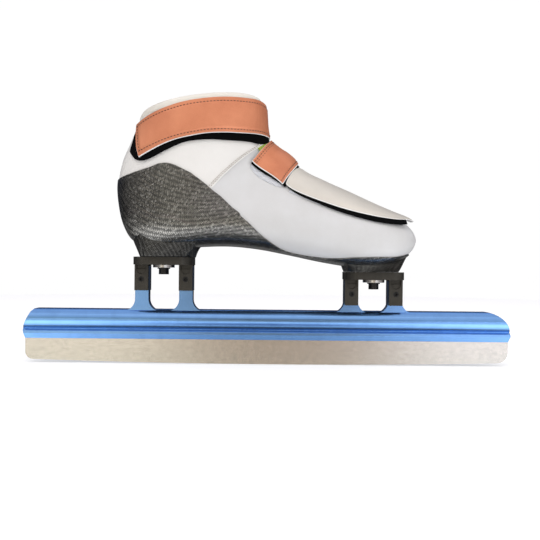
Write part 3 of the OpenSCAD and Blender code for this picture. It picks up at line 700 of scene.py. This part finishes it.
# The vamp runs about 3 mm under the quarter
VAMP_HALF = [[(3.3, 20), (5.7, 64.5), (8.1, 100)], [(4.3, 14), (8.5, 130)],
             [(5.8, 14), (9, 160)],
             [(7.5, 14), (10, 166)], [(9.3, 14), (11.3, 166)], [(11, 13), (12.8, 166)],
             [(12.3, 12), (14.3, 166)], [(13.3, 11), (16, 166)], [(14, 9), (17.5, 162)],
             [(14.3, 7), (TOE_SEAM, 140)], [(14.5, 5), (TOE_SEAM, 95)],
             [(14.6, 2.5), (TOE_SEAM, 48)]]
VAMP_RIBS = VAMP_HALF + [[(14.65, 0), (TOE_SEAM, 0)]] + mirrored(VAMP_HALF)[len(VAMP_HALF):]
COVER_RIBS = [[(10.42, 48), (9.5, 8), (9.75, -33)], [(10.9, 51), (10.2, 9), (10.45, -33)]] + [
    [(u, a), (u, b)] for u, a, b in [
        (11.7, 54.3, -32), (12.8, 57.4, -29), (13.9, 58.5, -26), (14.9, 57.5, -24),
        (16, 54, -22), (17, 47, -20), (17.8, 36.5, -17), (18.3, 25, -12), (18.65, 10, -5)]]
COVER_HOOK_RIBS = [[(u, a), (u, b)] for u, a, b in [
    (10.7, 42, 50.5), (11.7, 46, 56.8), (12.9, 48, 61.6), (13.9, 50, 64), (14.9, 50, 64.7),
    (16, 48, 63.2), (17.1, 42, 57.5), (17.7, 38, 52)]]
COVER_LOOP_RIBS = [[(11, 45), (11, 55)], [(13, 48), (13, 61)], [(15, 50), (15, 63)],
                   [(16.6, 45), (16.6, 57)]]
INSTEP_RIBS = [[(5.74, 45.5), (8.28, 43), (10.22, 49.5)], [(4.85, 36.3), (7.6, 33.7), (9.85, 37)],
               [(4.12, 25), (6.9, 24), (9.55, 25)], [(3.6, 10), (9.2, 10)],
               [(3.55, 0), (9.05, 0)], [(3.55, -10), (9.05, -11)], [(4, -32), (9.4, -34)],
               [(4.8, -48), (10, -52)], [(5.6, -62), (10.6, -68)]]
INSTEP_HOOK_RIBS = [[(6.0, 46.7), (8.5, 44.9), (10.5, 51.3)], [(5.8, 38), (8, 36.5), (10.3, 40)],
                    [(5.6, 28), (7.8, 27.5), (10.0, 30)], [(5.2, 12), (9.55, 12)],
                    [(5.2, 2), (9.45, 2)]]
INSTEP_LOOP_RIBS = [[(6.3, 48), (8.3, 49.5), (9.9, 52.5)], [(6.1, 44), (8.3, 45), (10.3, 50)],
                    [(6, 32), (10.2, 34)]]
ANKLE_RIBS = [[(0.6, -148), (2.9, -142)], [(0.45, -120), (2.7, -114)],
              [(0.4, -90), (2.5, -86)], [(0.4, -60), (2.6, -56)], [(0.45, -34), (2.85, -32)],
              [(0.5, -8), (3.0, -8)], [(0.5, 10), (3.0, 11)], [(0.45, 30), (2.8, 30)],
              [(0.47, 50), (2.65, 50)], [(0.45, 68), (2.48, 68)], [(0.45, 84), (2.42, 82)],
              [(0.48, 95), (2.5, 93)], [(0.56, 107), (2.6, 101)], [(0.72, 122), (2.77, 109)],
              [(0.92, 136), (2.99, 118)], [(1.2, 150.5), (3.22, 129)]]
ANKLE_HOOK_RIBS = [[(0.8, 2), (3.35, 4)], [(0.8, 14), (3.7, 16)], [(0.7, 30), (3.85, 30)],
                   [(0.6, 46), (3.48, 45)], [(0.55, 62), (3.2, 62)], [(0.55, 78), (2.95, 77)],
                   [(0.6, 92), (2.86, 90)], [(0.7, 106), (2.98, 98)], [(0.85, 120), (3.2, 107)],
                   [(1.0, 134), (3.4, 117)], [(1.2, 144), (3.44, 125)], [(1.5, 149), (3.28, 134)],
                   [(1.8, 150.5), (2.8, 145)]]
ANKLE_LOOP_RIBS = [[(0.8, 66), (2.8, 64)], [(0.8, 90), (2.7, 88)], [(0.9, 118), (2.9, 108)],
                   [(1.1, 140), (3.1, 126)]]
EYELETS = [0.9, 2.3, 3.9, 7.2, 9.5, 11, 12.2, 13.3]
EYELET_ANGLE = 19.0


def cover_curl(u, a, base):
    """The lace cover's tip lifts off the toe."""
    return 0.35 * np.maximum(0, u - 15.2) ** 2


# ---- Materials of this object ----

WHITE_LEATHER = leather("upper leather", (0.60, 0.605, 0.61), (0.55, 0.55, 0.545), 1500, 0.00006,
                        (0.38, 0.5))
QUARTER_LEATHER = leather("quarter leather", (0.74, 0.73, 0.705), (0.68, 0.67, 0.645), 1500,
                          0.00006, (0.38, 0.5))
CREAM_LEATHER = leather("collar leather", (0.76, 0.73, 0.665), (0.69, 0.66, 0.595), 1300, 0.0001,
                        (0.45, 0.6))
COPPER = leather("copper leather", (0.68, 0.26, 0.135), (0.55, 0.185, 0.09), 1200, 0.00010,
                 (0.34, 0.5), metal=0.35)
PEARL = leather("pearl leather", (0.66, 0.62, 0.55), (0.58, 0.55, 0.49), 1100, 0.00008,
                (0.3, 0.45), metal=0.15)
EDGE_WHITE = leather("white edge", (0.85, 0.85, 0.84), (0.74, 0.73, 0.71), 1800, 0.00006,
                     (0.6, 0.75))
HOOK_BLACK = cloth("hook tape", (0.008, 0.008, 0.009), (0.001, 0.001, 0.001), 1400, 0.0004,
                   0.95, 0.0, 0.08)
LOOP_WHITE = cloth("white loop tape", (0.84, 0.85, 0.87), (0.72, 0.75, 0.80), 1100, 0.0002,
                   0.8, 0.0)
LOOP_BLACK = cloth("black loop tape", (0.02, 0.02, 0.022), (0.005, 0.005, 0.005), 1100, 0.0005,
                   0.95, 0.0, 0.1)
LINING = cloth("mesh lining", (0.10, 0.10, 0.11), (0.03, 0.03, 0.035), 1600, 0.0003)
INSOLE = cloth("insole cloth", (0.16, 0.16, 0.17), (0.06, 0.06, 0.065), 1300, 0.0003)
TONGUE = cloth("tongue cloth", (0.50, 0.50, 0.50), (0.26, 0.26, 0.27), 1500, 0.0003)
LACE = cloth("lace braid", (0.62, 0.78, 0.06), (0.30, 0.42, 0.02), 2600, 0.0002, 0.75)
THREAD_BROWN = cloth("brown thread", (0.20, 0.085, 0.05), (0.10, 0.04, 0.02), 4000, 0.00008)
THREAD_GREY = cloth("grey thread", (0.38, 0.31, 0.25), (0.24, 0.19, 0.15), 4000, 0.00008)
CARBON = carbon("carbon twill", 0.31, 0.6)
# A darker copy of the twill for the sole blocks: painted shade, as the blocks sit in shadow under
# the boot
CARBON_SHADED_BLOCK = carbon("carbon block painted shade", 0.08, 0.2)
BLADE_STEEL = metal("ground steel", (0.72, 0.70, 0.66), (0.60, 0.57, 0.52), (0.18, 0.28),
                    (2, 60, 400), 0.00001, mottle=0.3)
TUBE_BLUE = metal("blue anodised", (0.17, 0.36, 0.74), (0.22, 0.43, 0.80), (0.18, 0.28),
                  (1, 120, 120), 0.000006)
BRACKET_BLACK = metal("black anodised", (0.040, 0.037, 0.031), (0.055, 0.050, 0.042),
                      (0.38, 0.5), (40, 40, 4), 0.00002, metallic=0.6)
BOLT_BLACK = metal("black oxide", (0.015, 0.015, 0.016), (0.03, 0.03, 0.03), (0.3, 0.45),
                   (60, 60, 60), 0.00002, metallic=0.7)
ZINC = metal("bright zinc", (0.72, 0.71, 0.68), (0.55, 0.54, 0.52), (0.2, 0.35),
             (60, 60, 60), 0.00002)
NICKEL = metal("nickel", (0.70, 0.68, 0.64), (0.55, 0.53, 0.50), (0.18, 0.3),
               (90, 90, 90), 0.00001)


def paint(material, *names):
    """Gives the CAD's own solids a material."""
    for name in names:
        obj = NODES[name]
        if not obj.material_slots:
            obj.data.materials.append(material)
        for slot in obj.material_slots:
            slot.material = material


paint(BLADE_STEEL, "blade")
paint(TUBE_BLUE, "blade_tube")
paint(BRACKET_BLACK, "heel_bracket", "toe_bracket", "tube_plug_rear", "tube_plug_front")
paint(BOLT_BLACK, "heel_bolt", "toe_bolt", "post_set_screws")
paint(ZINC, "heel_washer", "toe_washer", "heel_insert", "toe_insert")


# ---- The upper ----


VAMP_STEPS = 12
SEAM_RIBS = (9, 15)
CAP_ROWS = 44
CAP_END = 20.93
TOE_POLE = 20.98
PUCKER = 0.16


def make_front_upper():
    """Vamp and toe in one skin, pulled over the last, with faint puckers at the sole."""
    u, a = spots(VAMP_RIBS, VAMP_STEPS * (len(VAMP_RIBS) - 1), 44)
    first, last = SEAM_RIBS[0] * VAMP_STEPS, SEAM_RIBS[1] * VAMP_STEPS
    edge_u, edge_a = u[first:last + 1, -1], a[first:last + 1, -1]
    under = np.linspace(180, edge_a[0], 13)[:-1]
    cap_a = np.concatenate([under, edge_a, -under[::-1]])
    cap_u = np.concatenate([np.full(12, edge_u[0]), edge_u, np.full(12, edge_u[-1])])
    w = np.linspace(0, 1, CAP_ROWS + 1)
    cap_u = cap_u[:, None] + (CAP_END - cap_u[:, None]) * w[None]
    cap_a = np.repeat(cap_a[:, None], CAP_ROWS + 1, 1)

    def skin_pair(u, a, pucker):
        turn = np.abs(a)
        wave = np.sin(turn * 0.9 + 2 * np.sin(turn * 0.13)) * (0.6 + 0.4 * np.sin(turn * 0.31 + 1))
        return skin(u, a, pucker * PUCKER * wave * MM), skin(u, a, -UPPER * MM + 0 * u)

    vamp_out, vamp_in = skin_pair(u, a, 0 * u)
    low = np.clip((np.abs(cap_a) - 118) / 25, 0, 1) * np.clip((20.6 - cap_u) / 1.2, 0, 1)
    low = low * np.clip(w[None] / 0.18, 0, 1)
    cap_out, cap_in = skin_pair(cap_u, cap_a, low)
    tip = form(TOE_POLE, 0.0) * 0.5 + form(TOE_POLE, 180.0) * 0.5
    pole = np.repeat(tip[None, None], cap_out.shape[0], 0)
    cap_out = np.concatenate([cap_out, pole], 1)
    cap_in = np.concatenate([cap_in, pole - np.array([UPPER * MM, 0, 0])], 1)
    obj = solid_sheet("front_upper", [(vamp_out, vamp_in, None), (cap_out, cap_in, None)],
                      WHITE_LEATHER, "root")
    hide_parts("vamp", "toe_cap")


def seam_lift(u, base):
    """1 where the quarter laps over the vamp, fading out under the strap and the shell."""
    near = ease(1 - (edge_distance(base) / MM - 3.5) / 6.0)
    return near * ease((u - 2.6) / 0.8) * ease((6.75 - u) / 0.7)


LAP = 1.15


def make_quarter():
    obj = panel("quarter_upper", QUARTER_RIBS, 108, 220,
                lambda u, a, base: -UPPER + (UPPER + 0.15) * seam_lift(u, base),
                lambda u, a, base: LAP * seam_lift(u, base),
                QUARTER_LEATHER, "root")
    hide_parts("quarter")
    for side, name in ((0, "outer"), (1, "inner")):
        for k, inset in enumerate((0.012, 0.024)):
            s = inset if side == 0 else 1 - inset
            points, normals = line_on(QUARTER_RIBS, np.linspace(3.2, 7.65, 110), s, 1.2)
            seam = stitches(f"quarter_stitch_{name}_{k}", points, normals, THREAD_GREY,
                            QUARTER_THREAD, "root")


# Section of the collar roll: stations below the rim, and millimetres off the form
COLLAR_SECTION = np.array([
    (0.64, -0.9), (0.62, 0.1), (0.50, 0.65), (0.32, 0.65), (0.17, 0.0),
    (0.09, -2.2), (0.13, -4.6), (0.31, -6.9), (0.7, -8.3), (1.15, -8.3),
    (1.6, -7.0), (1.85, -4.8), (1.7, -3.0), (1.1, -2.4), (0.75, -2.2)])
COLLAR_END = 13.5
COLLAR_MIDDLE = (0.5, -1.0)
COLLAR_SEAM = 0.62
QUARTER_INNER = -2.2


def make_collar():
    """Padded roll over the top edge, thick at the ankle and thin beside the tongue."""
    section = COLLAR_SECTION
    closed = np.concatenate([section[-1:], section, section[:2]])
    around = along(closed, np.linspace(1, len(section) + 1, 61)[:-1])
    angles = np.linspace(COLLAR_END, 360 - COLLAR_END, 260)
    near = np.minimum(angles, 360 - angles)
    thick = 0.12 + 0.88 * ease((near - 30) / 22)
    close = np.clip((near - COLLAR_END) / 3.0, 0.05, 1) ** 0.5
    wave = 0.22 * np.sin(angles * 0.21) * np.sin(angles * 0.083 + 1)
    mid_u, mid_t = COLLAR_MIDDLE
    points = []
    for a, g, c, w in zip(angles, thick, close, wave):
        t = around[:, 1]
        padding = QUARTER_INNER + (t - QUARTER_INNER) * g + w * g
        t = np.where(t < QUARTER_INNER, padding, t)
        u = mid_u + (around[:, 0] - mid_u) * c
        u = np.where(u > COLLAR_SEAM, COLLAR_SEAM + (u - COLLAR_SEAM) * g, u)
        t = mid_t + (t - mid_t) * c
        points.append(skin(u, np.full_like(u, a), t * MM))
    points = np.array(points)
    faces = ring_faces(points.shape[0], points.shape[1], 0, "capped")
    obj = new_object("collar_roll", points.reshape(-1, 3), faces, CREAM_LEATHER, None, "root")
    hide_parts("collar_padding")


def make_tongue():
    """Padded tongue, thicker in its middle, with a faint groove near each side."""
    ribs = [[(u, 37), (u, -37)] for u in (0.25, 2, 4, 7, 10, 13, 15)]

    def crown(u, a, base):
        d = edge_distance(base, ("left", "right", "top", "bottom")) / MM
        return np.clip(d / 6.0, 0, 1) ** 0.5

    obj = panel("tongue_pad", ribs, 120, 60,
                lambda u, a, base: -4.3 - 1.7 * crown(u, a, base),
                lambda u, a, base: -4.1 + 1.5 * crown(u, a, base)
                - 0.35 * np.exp(-((np.abs(a) - 22) / 1.6) ** 2),
                TONGUE, "root")
    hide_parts("tongue")


# Station and half width in degrees of the insole
INSOLE_EDGE = ((7.6, 40), (9, 52), (11, 54), (13, 54), (15, 56), (17, 54), (18.6, 44))


def make_inside():
    lining = panel("inner_lining", [[(u, 42), (u, 318)] for u in (1.8, 4, 7, 10, 13, 15.5)],
                   90, 130, -4.9, -2.6, LINING, "root")
    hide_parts("heel_lining")
    insole = panel("foot_bed", [[(u, 180 - a), (u, 180 + a)] for u, a in INSOLE_EDGE],
                   80, 50, -8.2, -5.4, INSOLE, "root")
    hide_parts("insole")


# ---- Carbon shell and sole blocks ----


RELAX_ROUNDS = 900
RELAX_PACE = 1.6


def relaxed_uv(points):
    """Flattens a coarse grid: UVs whose edges and diagonals are as long as in space."""
    uv = metric_uv(points)
    pairs = []
    rows, cols = points.shape[:2]
    index = np.arange(rows * cols).reshape(rows, cols)
    for a, b, stiff in ((index[:, :-1], index[:, 1:], 1.0), (index[:-1], index[1:], 1.0),
                        (index[:-1, :-1], index[1:, 1:], 0.5),
                        (index[:-1, 1:], index[1:, :-1], 0.5)):
        pairs.append((a.ravel(), b.ravel(), stiff))
    flat, uv = points.reshape(-1, 3), uv.reshape(-1, 2)
    for _ in range(RELAX_ROUNDS):
        move = np.zeros_like(uv)
        weight = np.zeros(len(uv))
        for a, b, stiff in pairs:
            want = np.linalg.norm(flat[a] - flat[b], axis=1)
            gap = uv[b] - uv[a]
            size = np.maximum(np.linalg.norm(gap, axis=1), 1e-9)
            push = gap * ((size - want) / size * 0.5 * stiff)[:, None]
            np.add.at(move, a, push)
            np.add.at(move, b, -push)
            np.add.at(weight, a, stiff)
            np.add.at(weight, b, stiff)
        uv = uv + move / weight[:, None] * RELAX_PACE
    return uv.reshape(rows, cols, 2)


def make_shell():
    """Carbon cup. Its UVs are relaxed on a coarse grid and filled in between."""
    coarse = 4
    rows, cols = 192, 160
    u, a = spots(SHELL_RIBS, rows, cols)
    outer = skin(u, a, SHELL_OUT * MM + 0 * u)
    inner = skin(u, a, SHELL_IN * MM + 0 * u)
    small = relaxed_uv(outer[::coarse, ::coarse])
    grid_r = np.arange(0, rows + 1, coarse)
    grid_c = np.arange(0, cols + 1, coarse)
    uv = np.empty((rows + 1, cols + 1, 2))
    for k in range(2):
        part = np.array([np.interp(np.arange(cols + 1), grid_c, row) for row in small[..., k]])
        uv[..., k] = np.array([np.interp(np.arange(rows + 1), grid_r, c) for c in part.T]).T
    obj = solid_sheet("carbon_cup", [(outer, inner, uv)], CARBON, "root")
    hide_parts("carbon_shell")


BLOCK_HALF_WIDTH = 0.022
BLOCK_FLARE = 0.8
BLOCK_CORNER = 0.80
BLOCK_ROWS = 30


def make_block(name, node, u0, u1, spread, foot_x):
    """Block under the shell that flows out of it and stands square on its bracket. Its top
    covers stations u0 to u1 and spread degrees to each side."""
    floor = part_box(node)[0][2]
    side = np.linspace(-1, 1, 41)[:-1]
    forward = u0 + (u1 - u0) * (side + 1) / 2
    backward = u1 - (u1 - u0) * (side + 1) / 2
    one = np.ones(len(side))
    us = np.concatenate([u0 * one, forward, u1 * one, backward])
    ks = np.concatenate([side, one, -side, -one])
    top = skin(us, 180 + spread * ks, np.full(len(us), 0.9 * MM))
    fx = 2 * (us - u0) / (u1 - u0) - 1
    squeeze = 1 - (1 - BLOCK_CORNER) * np.abs(fx) ** 5 * np.abs(ks) ** 5
    foot_x0, foot_x1 = foot_x
    foot = np.stack([(foot_x0 + foot_x1) / 2 + (foot_x1 - foot_x0) / 2 * fx * squeeze,
                     BOOT_OFFSET * MM + BLOCK_HALF_WIDTH * ks * squeeze,
                     np.full(len(us), floor)], -1)
    rings = []
    for k in np.linspace(0, 1, BLOCK_ROWS + 1):
        e = (1 - k) ** BLOCK_FLARE
        flat = foot[:, :2] + (top[:, :2] - foot[:, :2]) * e
        z = top[:, 2] + (foot[:, 2] - top[:, 2]) * k
        rings.append(np.concatenate([flat, z[:, None]], 1))
    rings = np.array(rings)
    rows, cols = rings.shape[:2]
    faces = ring_faces(rows, cols, 0, "capped")
    step = np.linalg.norm(np.diff(rings[0], axis=0, append=rings[0][:1]), axis=1)
    x = np.concatenate([[0], np.cumsum(step)[:-1]])
    drop = np.linalg.norm(np.diff(rings[:, 0], axis=0), axis=1)
    down = np.concatenate([[0], np.cumsum(drop)])
    uv = np.stack([np.repeat(x[None], rows, 0), np.repeat(down[:, None], cols, 1)], -1)
    # The blocks take the darker twill, which is painted shade
    obj = new_object(name, rings.reshape(-1, 3), faces, CARBON_SHADED_BLOCK, uv.reshape(-1, 2), "root")
    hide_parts(node)


# ---- Lacing ----


# Radius and height of an eyelet's section, in millimetres
EYELET_PROFILE = [(2.4, -2.0), (2.4, 0.1), (2.7, 0.3), (3.3, 0.22), (3.68, 0.1), (3.7, 0.3),
                  (3.4, 0.55), (2.9, 0.68), (2.4, 0.62), (2.0, 0.3), (1.9, -0.2), (1.9, -2.0)]
EYELET_SIDES = 36


def make_eyelets(side, node):
    """Rolled eyelets: a domed flange and a short barrel, as one mesh per side."""
    verts, faces = [], []
    for u in EYELETS:
        centre = form(u, side * EYELET_ANGLE)
        n = form_normal(u, side * EYELET_ANGLE)
        x = np.cross(n, [0, 1.0, 0])
        x /= np.linalg.norm(x)
        y = np.cross(n, x)
        faces += ring_faces(len(EYELET_PROFILE), EYELET_SIDES, len(verts), "joined")
        for r, h in EYELET_PROFILE:
            for k in range(EYELET_SIDES):
                t = 2 * math.pi * k / EYELET_SIDES
                verts.append(centre + (x * math.cos(t) + y * math.sin(t)) * r * MM + n * h * MM)
    obj = new_object(node + "_rolled", verts, faces, NICKEL, None, "root")
    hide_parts(node)


LACE_HALF = (2.45, 0.5)
LACE_SIDES = 16
LACE_HEIGHT = 1.3
LACE_END = 0.06
# The lace end that shows between the straps
LOOSE_END = ((4.2, 23), (4.62, 34.5), 0.0)


def lace_grid(a, b, dip):
    """Centre line, width and thickness directions of one flat lace run. The run dips
    between the eyelets and turns down into them at its ends."""
    t = np.linspace(-LACE_END, 1 + LACE_END, 41)[:, None]
    spot = np.array(a) + (np.array(b) - np.array(a)) * t
    w = np.clip(t[:, 0], 0, 1)
    height = LACE_HEIGHT - dip * np.sin(math.pi * w) ** 2
    over = np.maximum(0, np.abs(t[:, 0] - 0.5) - 0.5) / LACE_END
    height = height - 1.0 * over ** 2
    p = skin(spot[:, 0], spot[:, 1], height * MM)
    n = form_normal(spot[:, 0], spot[:, 1])
    way = form(b[0], b[1]) - form(a[0], a[1])
    way /= np.linalg.norm(way)
    return p, np.cross(n, way), n


def make_laces():
    runs = []
    for i in range(len(EYELETS) - 1):
        for side in (-1, 1):
            runs.append(((EYELETS[i], side * EYELET_ANGLE),
                         (EYELETS[i + 1], -side * EYELET_ANGLE), 0.1 if side > 0 else 1.8))
    last = EYELETS[-1] + 0.1
    runs.append(((last, EYELET_ANGLE), (last, -EYELET_ANGLE), 0.4))
    runs.append(LOOSE_END)
    verts, faces, uvs = [], [], []
    wide, thick = LACE_HALF
    profile = [(math.copysign(abs(math.cos(t)) ** 0.45, math.cos(t)), math.sin(t))
               for t in np.linspace(0, 2 * math.pi, LACE_SIDES + 1)[:-1]]
    for a, b, dip in runs:
        p, w, n = lace_grid(a, b, dip)
        faces += ring_faces(len(p), LACE_SIDES, len(verts), "capped")
        for i in range(len(p)):
            for x, y in profile:
                verts.append(p[i] + w[i] * x * wide * MM + n[i] * y * thick * MM)
                uvs.append((x * wide * MM, i * 0.0008))
    obj = new_object("flat_laces", verts, faces, LACE, uvs, "root")
    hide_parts("laces")


# ---- Cover and straps ----

# Inner and outer heights over the form, in millimetres
STRAP_BACKING = (2.3, 3.3)
COVER_BACKING = (2.3, 2.9)
STRAP_HOOKS = (1.3, 2.2)
COVER_HOOKS = (1.2, 2.2)
LOOPS = (0.1, 0.8)
STRAP_TOP = 3.75
COVER_TOP = 3.1


def bend(obj):
    """Bakes the piece's placement into its mesh."""
    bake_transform(obj)


def strap_seam(name, points, normals):
    seam = stitches(name, points, normals, THREAD_BROWN, STRAP_THREAD)
    bend(seam)


def make_ankle_strap():
    def wrinkles(u, a):
        wide = np.sin(a * 1.05 + 1.4 * np.sin(u * 1.3) + 0.8) * 0.5
        narrow = np.sin(a * 2.3 + 0.9 * np.sin(u * 2.1)) * 0.3
        return 0.17 * (wide + narrow) * np.exp(-((a - 14) / 16.0) ** 2)

    def leather_top(u, a, base):
        d = edge_distance(base, ("left", "right", "bottom")) / MM
        crown = 0.55 * ease((d - 0.5) / 4.5) - 0.22 * np.exp(-((d - 3.0) / 0.8) ** 2)
        return STRAP_TOP + crown + wrinkles(u, a) * ease(d / 4)

    backing = panel("ankle_strap_backing", ANKLE_RIBS, 260, 24, *STRAP_BACKING, EDGE_WHITE,
                    v=np.linspace(0, 15.025, 261), s=np.linspace(0.004, 1.016, 25))
    top = panel("ankle_strap_leather", ANKLE_RIBS, 520, 56, 3.2, leather_top, COPPER)
    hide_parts("ankle_strap", "ankle_strap_anchor")
    for piece in (backing, top):
        bend(piece)
    lines = {"upper": (np.linspace(0.1, 14.85, 300), np.full(300, 0.095)),
             "lower": (np.linspace(0.1, 14.85, 300), np.full(300, 0.905)),
             "end": (np.full(60, 14.82), np.linspace(0.12, 0.88, 60))}
    for name, (v, s) in lines.items():
        points, normals = line_on(ANKLE_RIBS, v, s, 3.92)
        strap_seam(f"ankle_strap_stitch_{name}", points, normals)
    hook = panel("ankle_hook_tape", ANKLE_HOOK_RIBS, 180, 30, *STRAP_HOOKS, HOOK_BLACK,
                 "ankle_strap")
    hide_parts("ankle_hook_patch")
    loop = panel("ankle_loop_tape", ANKLE_LOOP_RIBS, 80, 24, *LOOPS, LOOP_BLACK, "root")
    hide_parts("ankle_loop_patch")


def instep_bridge(u, a, base):
    """The strap spans the hollow over the instep and lies flat where it is sewn on, in mm."""
    span = 2.4 * np.exp(-((u - 7.4) / 3.0) ** 2) * np.exp(-(a / 26) ** 2)
    return span - 1.3 * ease((-a - 42) / 18)


def make_instep_strap():
    def leather_top(u, a, base):
        d = edge_distance(base, ("left", "right", "top")) / MM
        ridge = np.sin(a * 1.3 + 1.2 * np.sin(u * 1.1)) * np.exp(-((a - 4) / 12.0) ** 2)
        crown = 0.5 * ease((d - 0.5) / 4.5) - 0.2 * np.exp(-((d - 2.6) / 0.8) ** 2)
        return STRAP_TOP + crown + 0.12 * ridge * ease(d / 4)

    backing = panel("instep_strap_backing", INSTEP_RIBS, 120, 24, *STRAP_BACKING, EDGE_WHITE,
                    lift=instep_bridge, v=np.linspace(-0.035, 8, 121),
                    s=np.linspace(0.004, 1.01, 25))
    top = panel("instep_strap_leather", INSTEP_RIBS, 220, 48, 3.2, leather_top, COPPER,
                lift=instep_bridge)
    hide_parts("instep_strap", "instep_strap_anchor")
    for piece in (backing, top):
        bend(piece)
    for k, s in enumerate((0.05, 0.105, 0.945)):
        points, normals = line_on(INSTEP_RIBS, np.linspace(0.12, 7.9, 160),
                                  np.full(160, s), 3.9, instep_bridge)
        strap_seam(f"instep_strap_stitch_{k}", points, normals)
    hook = panel("instep_hook_tape", INSTEP_HOOK_RIBS, 80, 40, *STRAP_HOOKS, HOOK_BLACK,
                 "instep_strap", lift=instep_bridge)
    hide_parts("instep_hook_patch")

    def crumple(u, a, base):
        return 0.6 + 0.3 * np.sin(u * 9 + a * 0.8) * np.sin(a * 1.1 + u * 3 + 1)

    loop = panel("instep_loop_tape", INSTEP_LOOP_RIBS, 70, 60, LOOPS[0], crumple, LOOP_WHITE,
                 "root")
    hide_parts("instep_loop_patch")


def make_lace_cover():
    def leather_top(u, a, base):
        d = edge_distance(base, ("left", "right", "top", "bottom")) / MM
        crown = 0.4 * ease((d - 0.4) / 4.0) - 0.12 * np.exp(-((d - 2.4) / 0.7) ** 2)
        return COVER_TOP + crown

    backing = panel("cover_backing", COVER_RIBS, 150, 60, *COVER_BACKING, EDGE_WHITE,
                    lift=cover_curl, v=np.linspace(-0.05, 10.04, 151),
                    s=np.linspace(-0.009, 1.0, 61))
    top = panel("cover_leather", COVER_RIBS, 220, 100, 2.8, leather_top, PEARL,
                lift=cover_curl)
    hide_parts("lace_cover")
    for piece in (backing, top):
        bend(piece)
    hook = panel("cover_hook_tape", COVER_HOOK_RIBS, 140, 20, *COVER_HOOKS, HOOK_BLACK,
                 "lace_cover", lift=cover_curl)
    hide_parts("cover_hook_strip")
    loop = panel("cover_loop_tape", COVER_LOOP_RIBS, 90, 20, *LOOPS, LOOP_WHITE, "root")
    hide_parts("cover_loop_strip")


make_camera()
make_stage()
make_world()
make_front_upper()
make_quarter()
make_collar()
make_tongue()
make_inside()
make_shell()
make_block("heel_block_moulded", "heel_block", 7, 9.6, 38, (-0.1140, -0.0663))
make_block("toe_block_moulded", "toe_block", 14.9, 18.3, 26, (0.0707, 0.1175))
make_eyelets(1, "eyelets_lateral")
make_eyelets(-1, "eyelets_medial")
make_laces()
make_ankle_strap()
make_instep_strap()
make_lace_cover()

area_light("key", (-0.5, -1.1, 1.3), (0, 0, 0.12), (1.2, 1.0), 6.2)
area_light("fill", (1.2, -0.6, 0.35), (0.1, 0, 0.12), (0.8, 0.8), 4.4)
area_light("top", (0.1, 0.1, 1.6), (0, 0, 0.1), (1.5, 1.2), 4)

scene = bpy.context.scene
scene.view_settings.view_transform = "Standard"
scene.view_settings.look = "None"
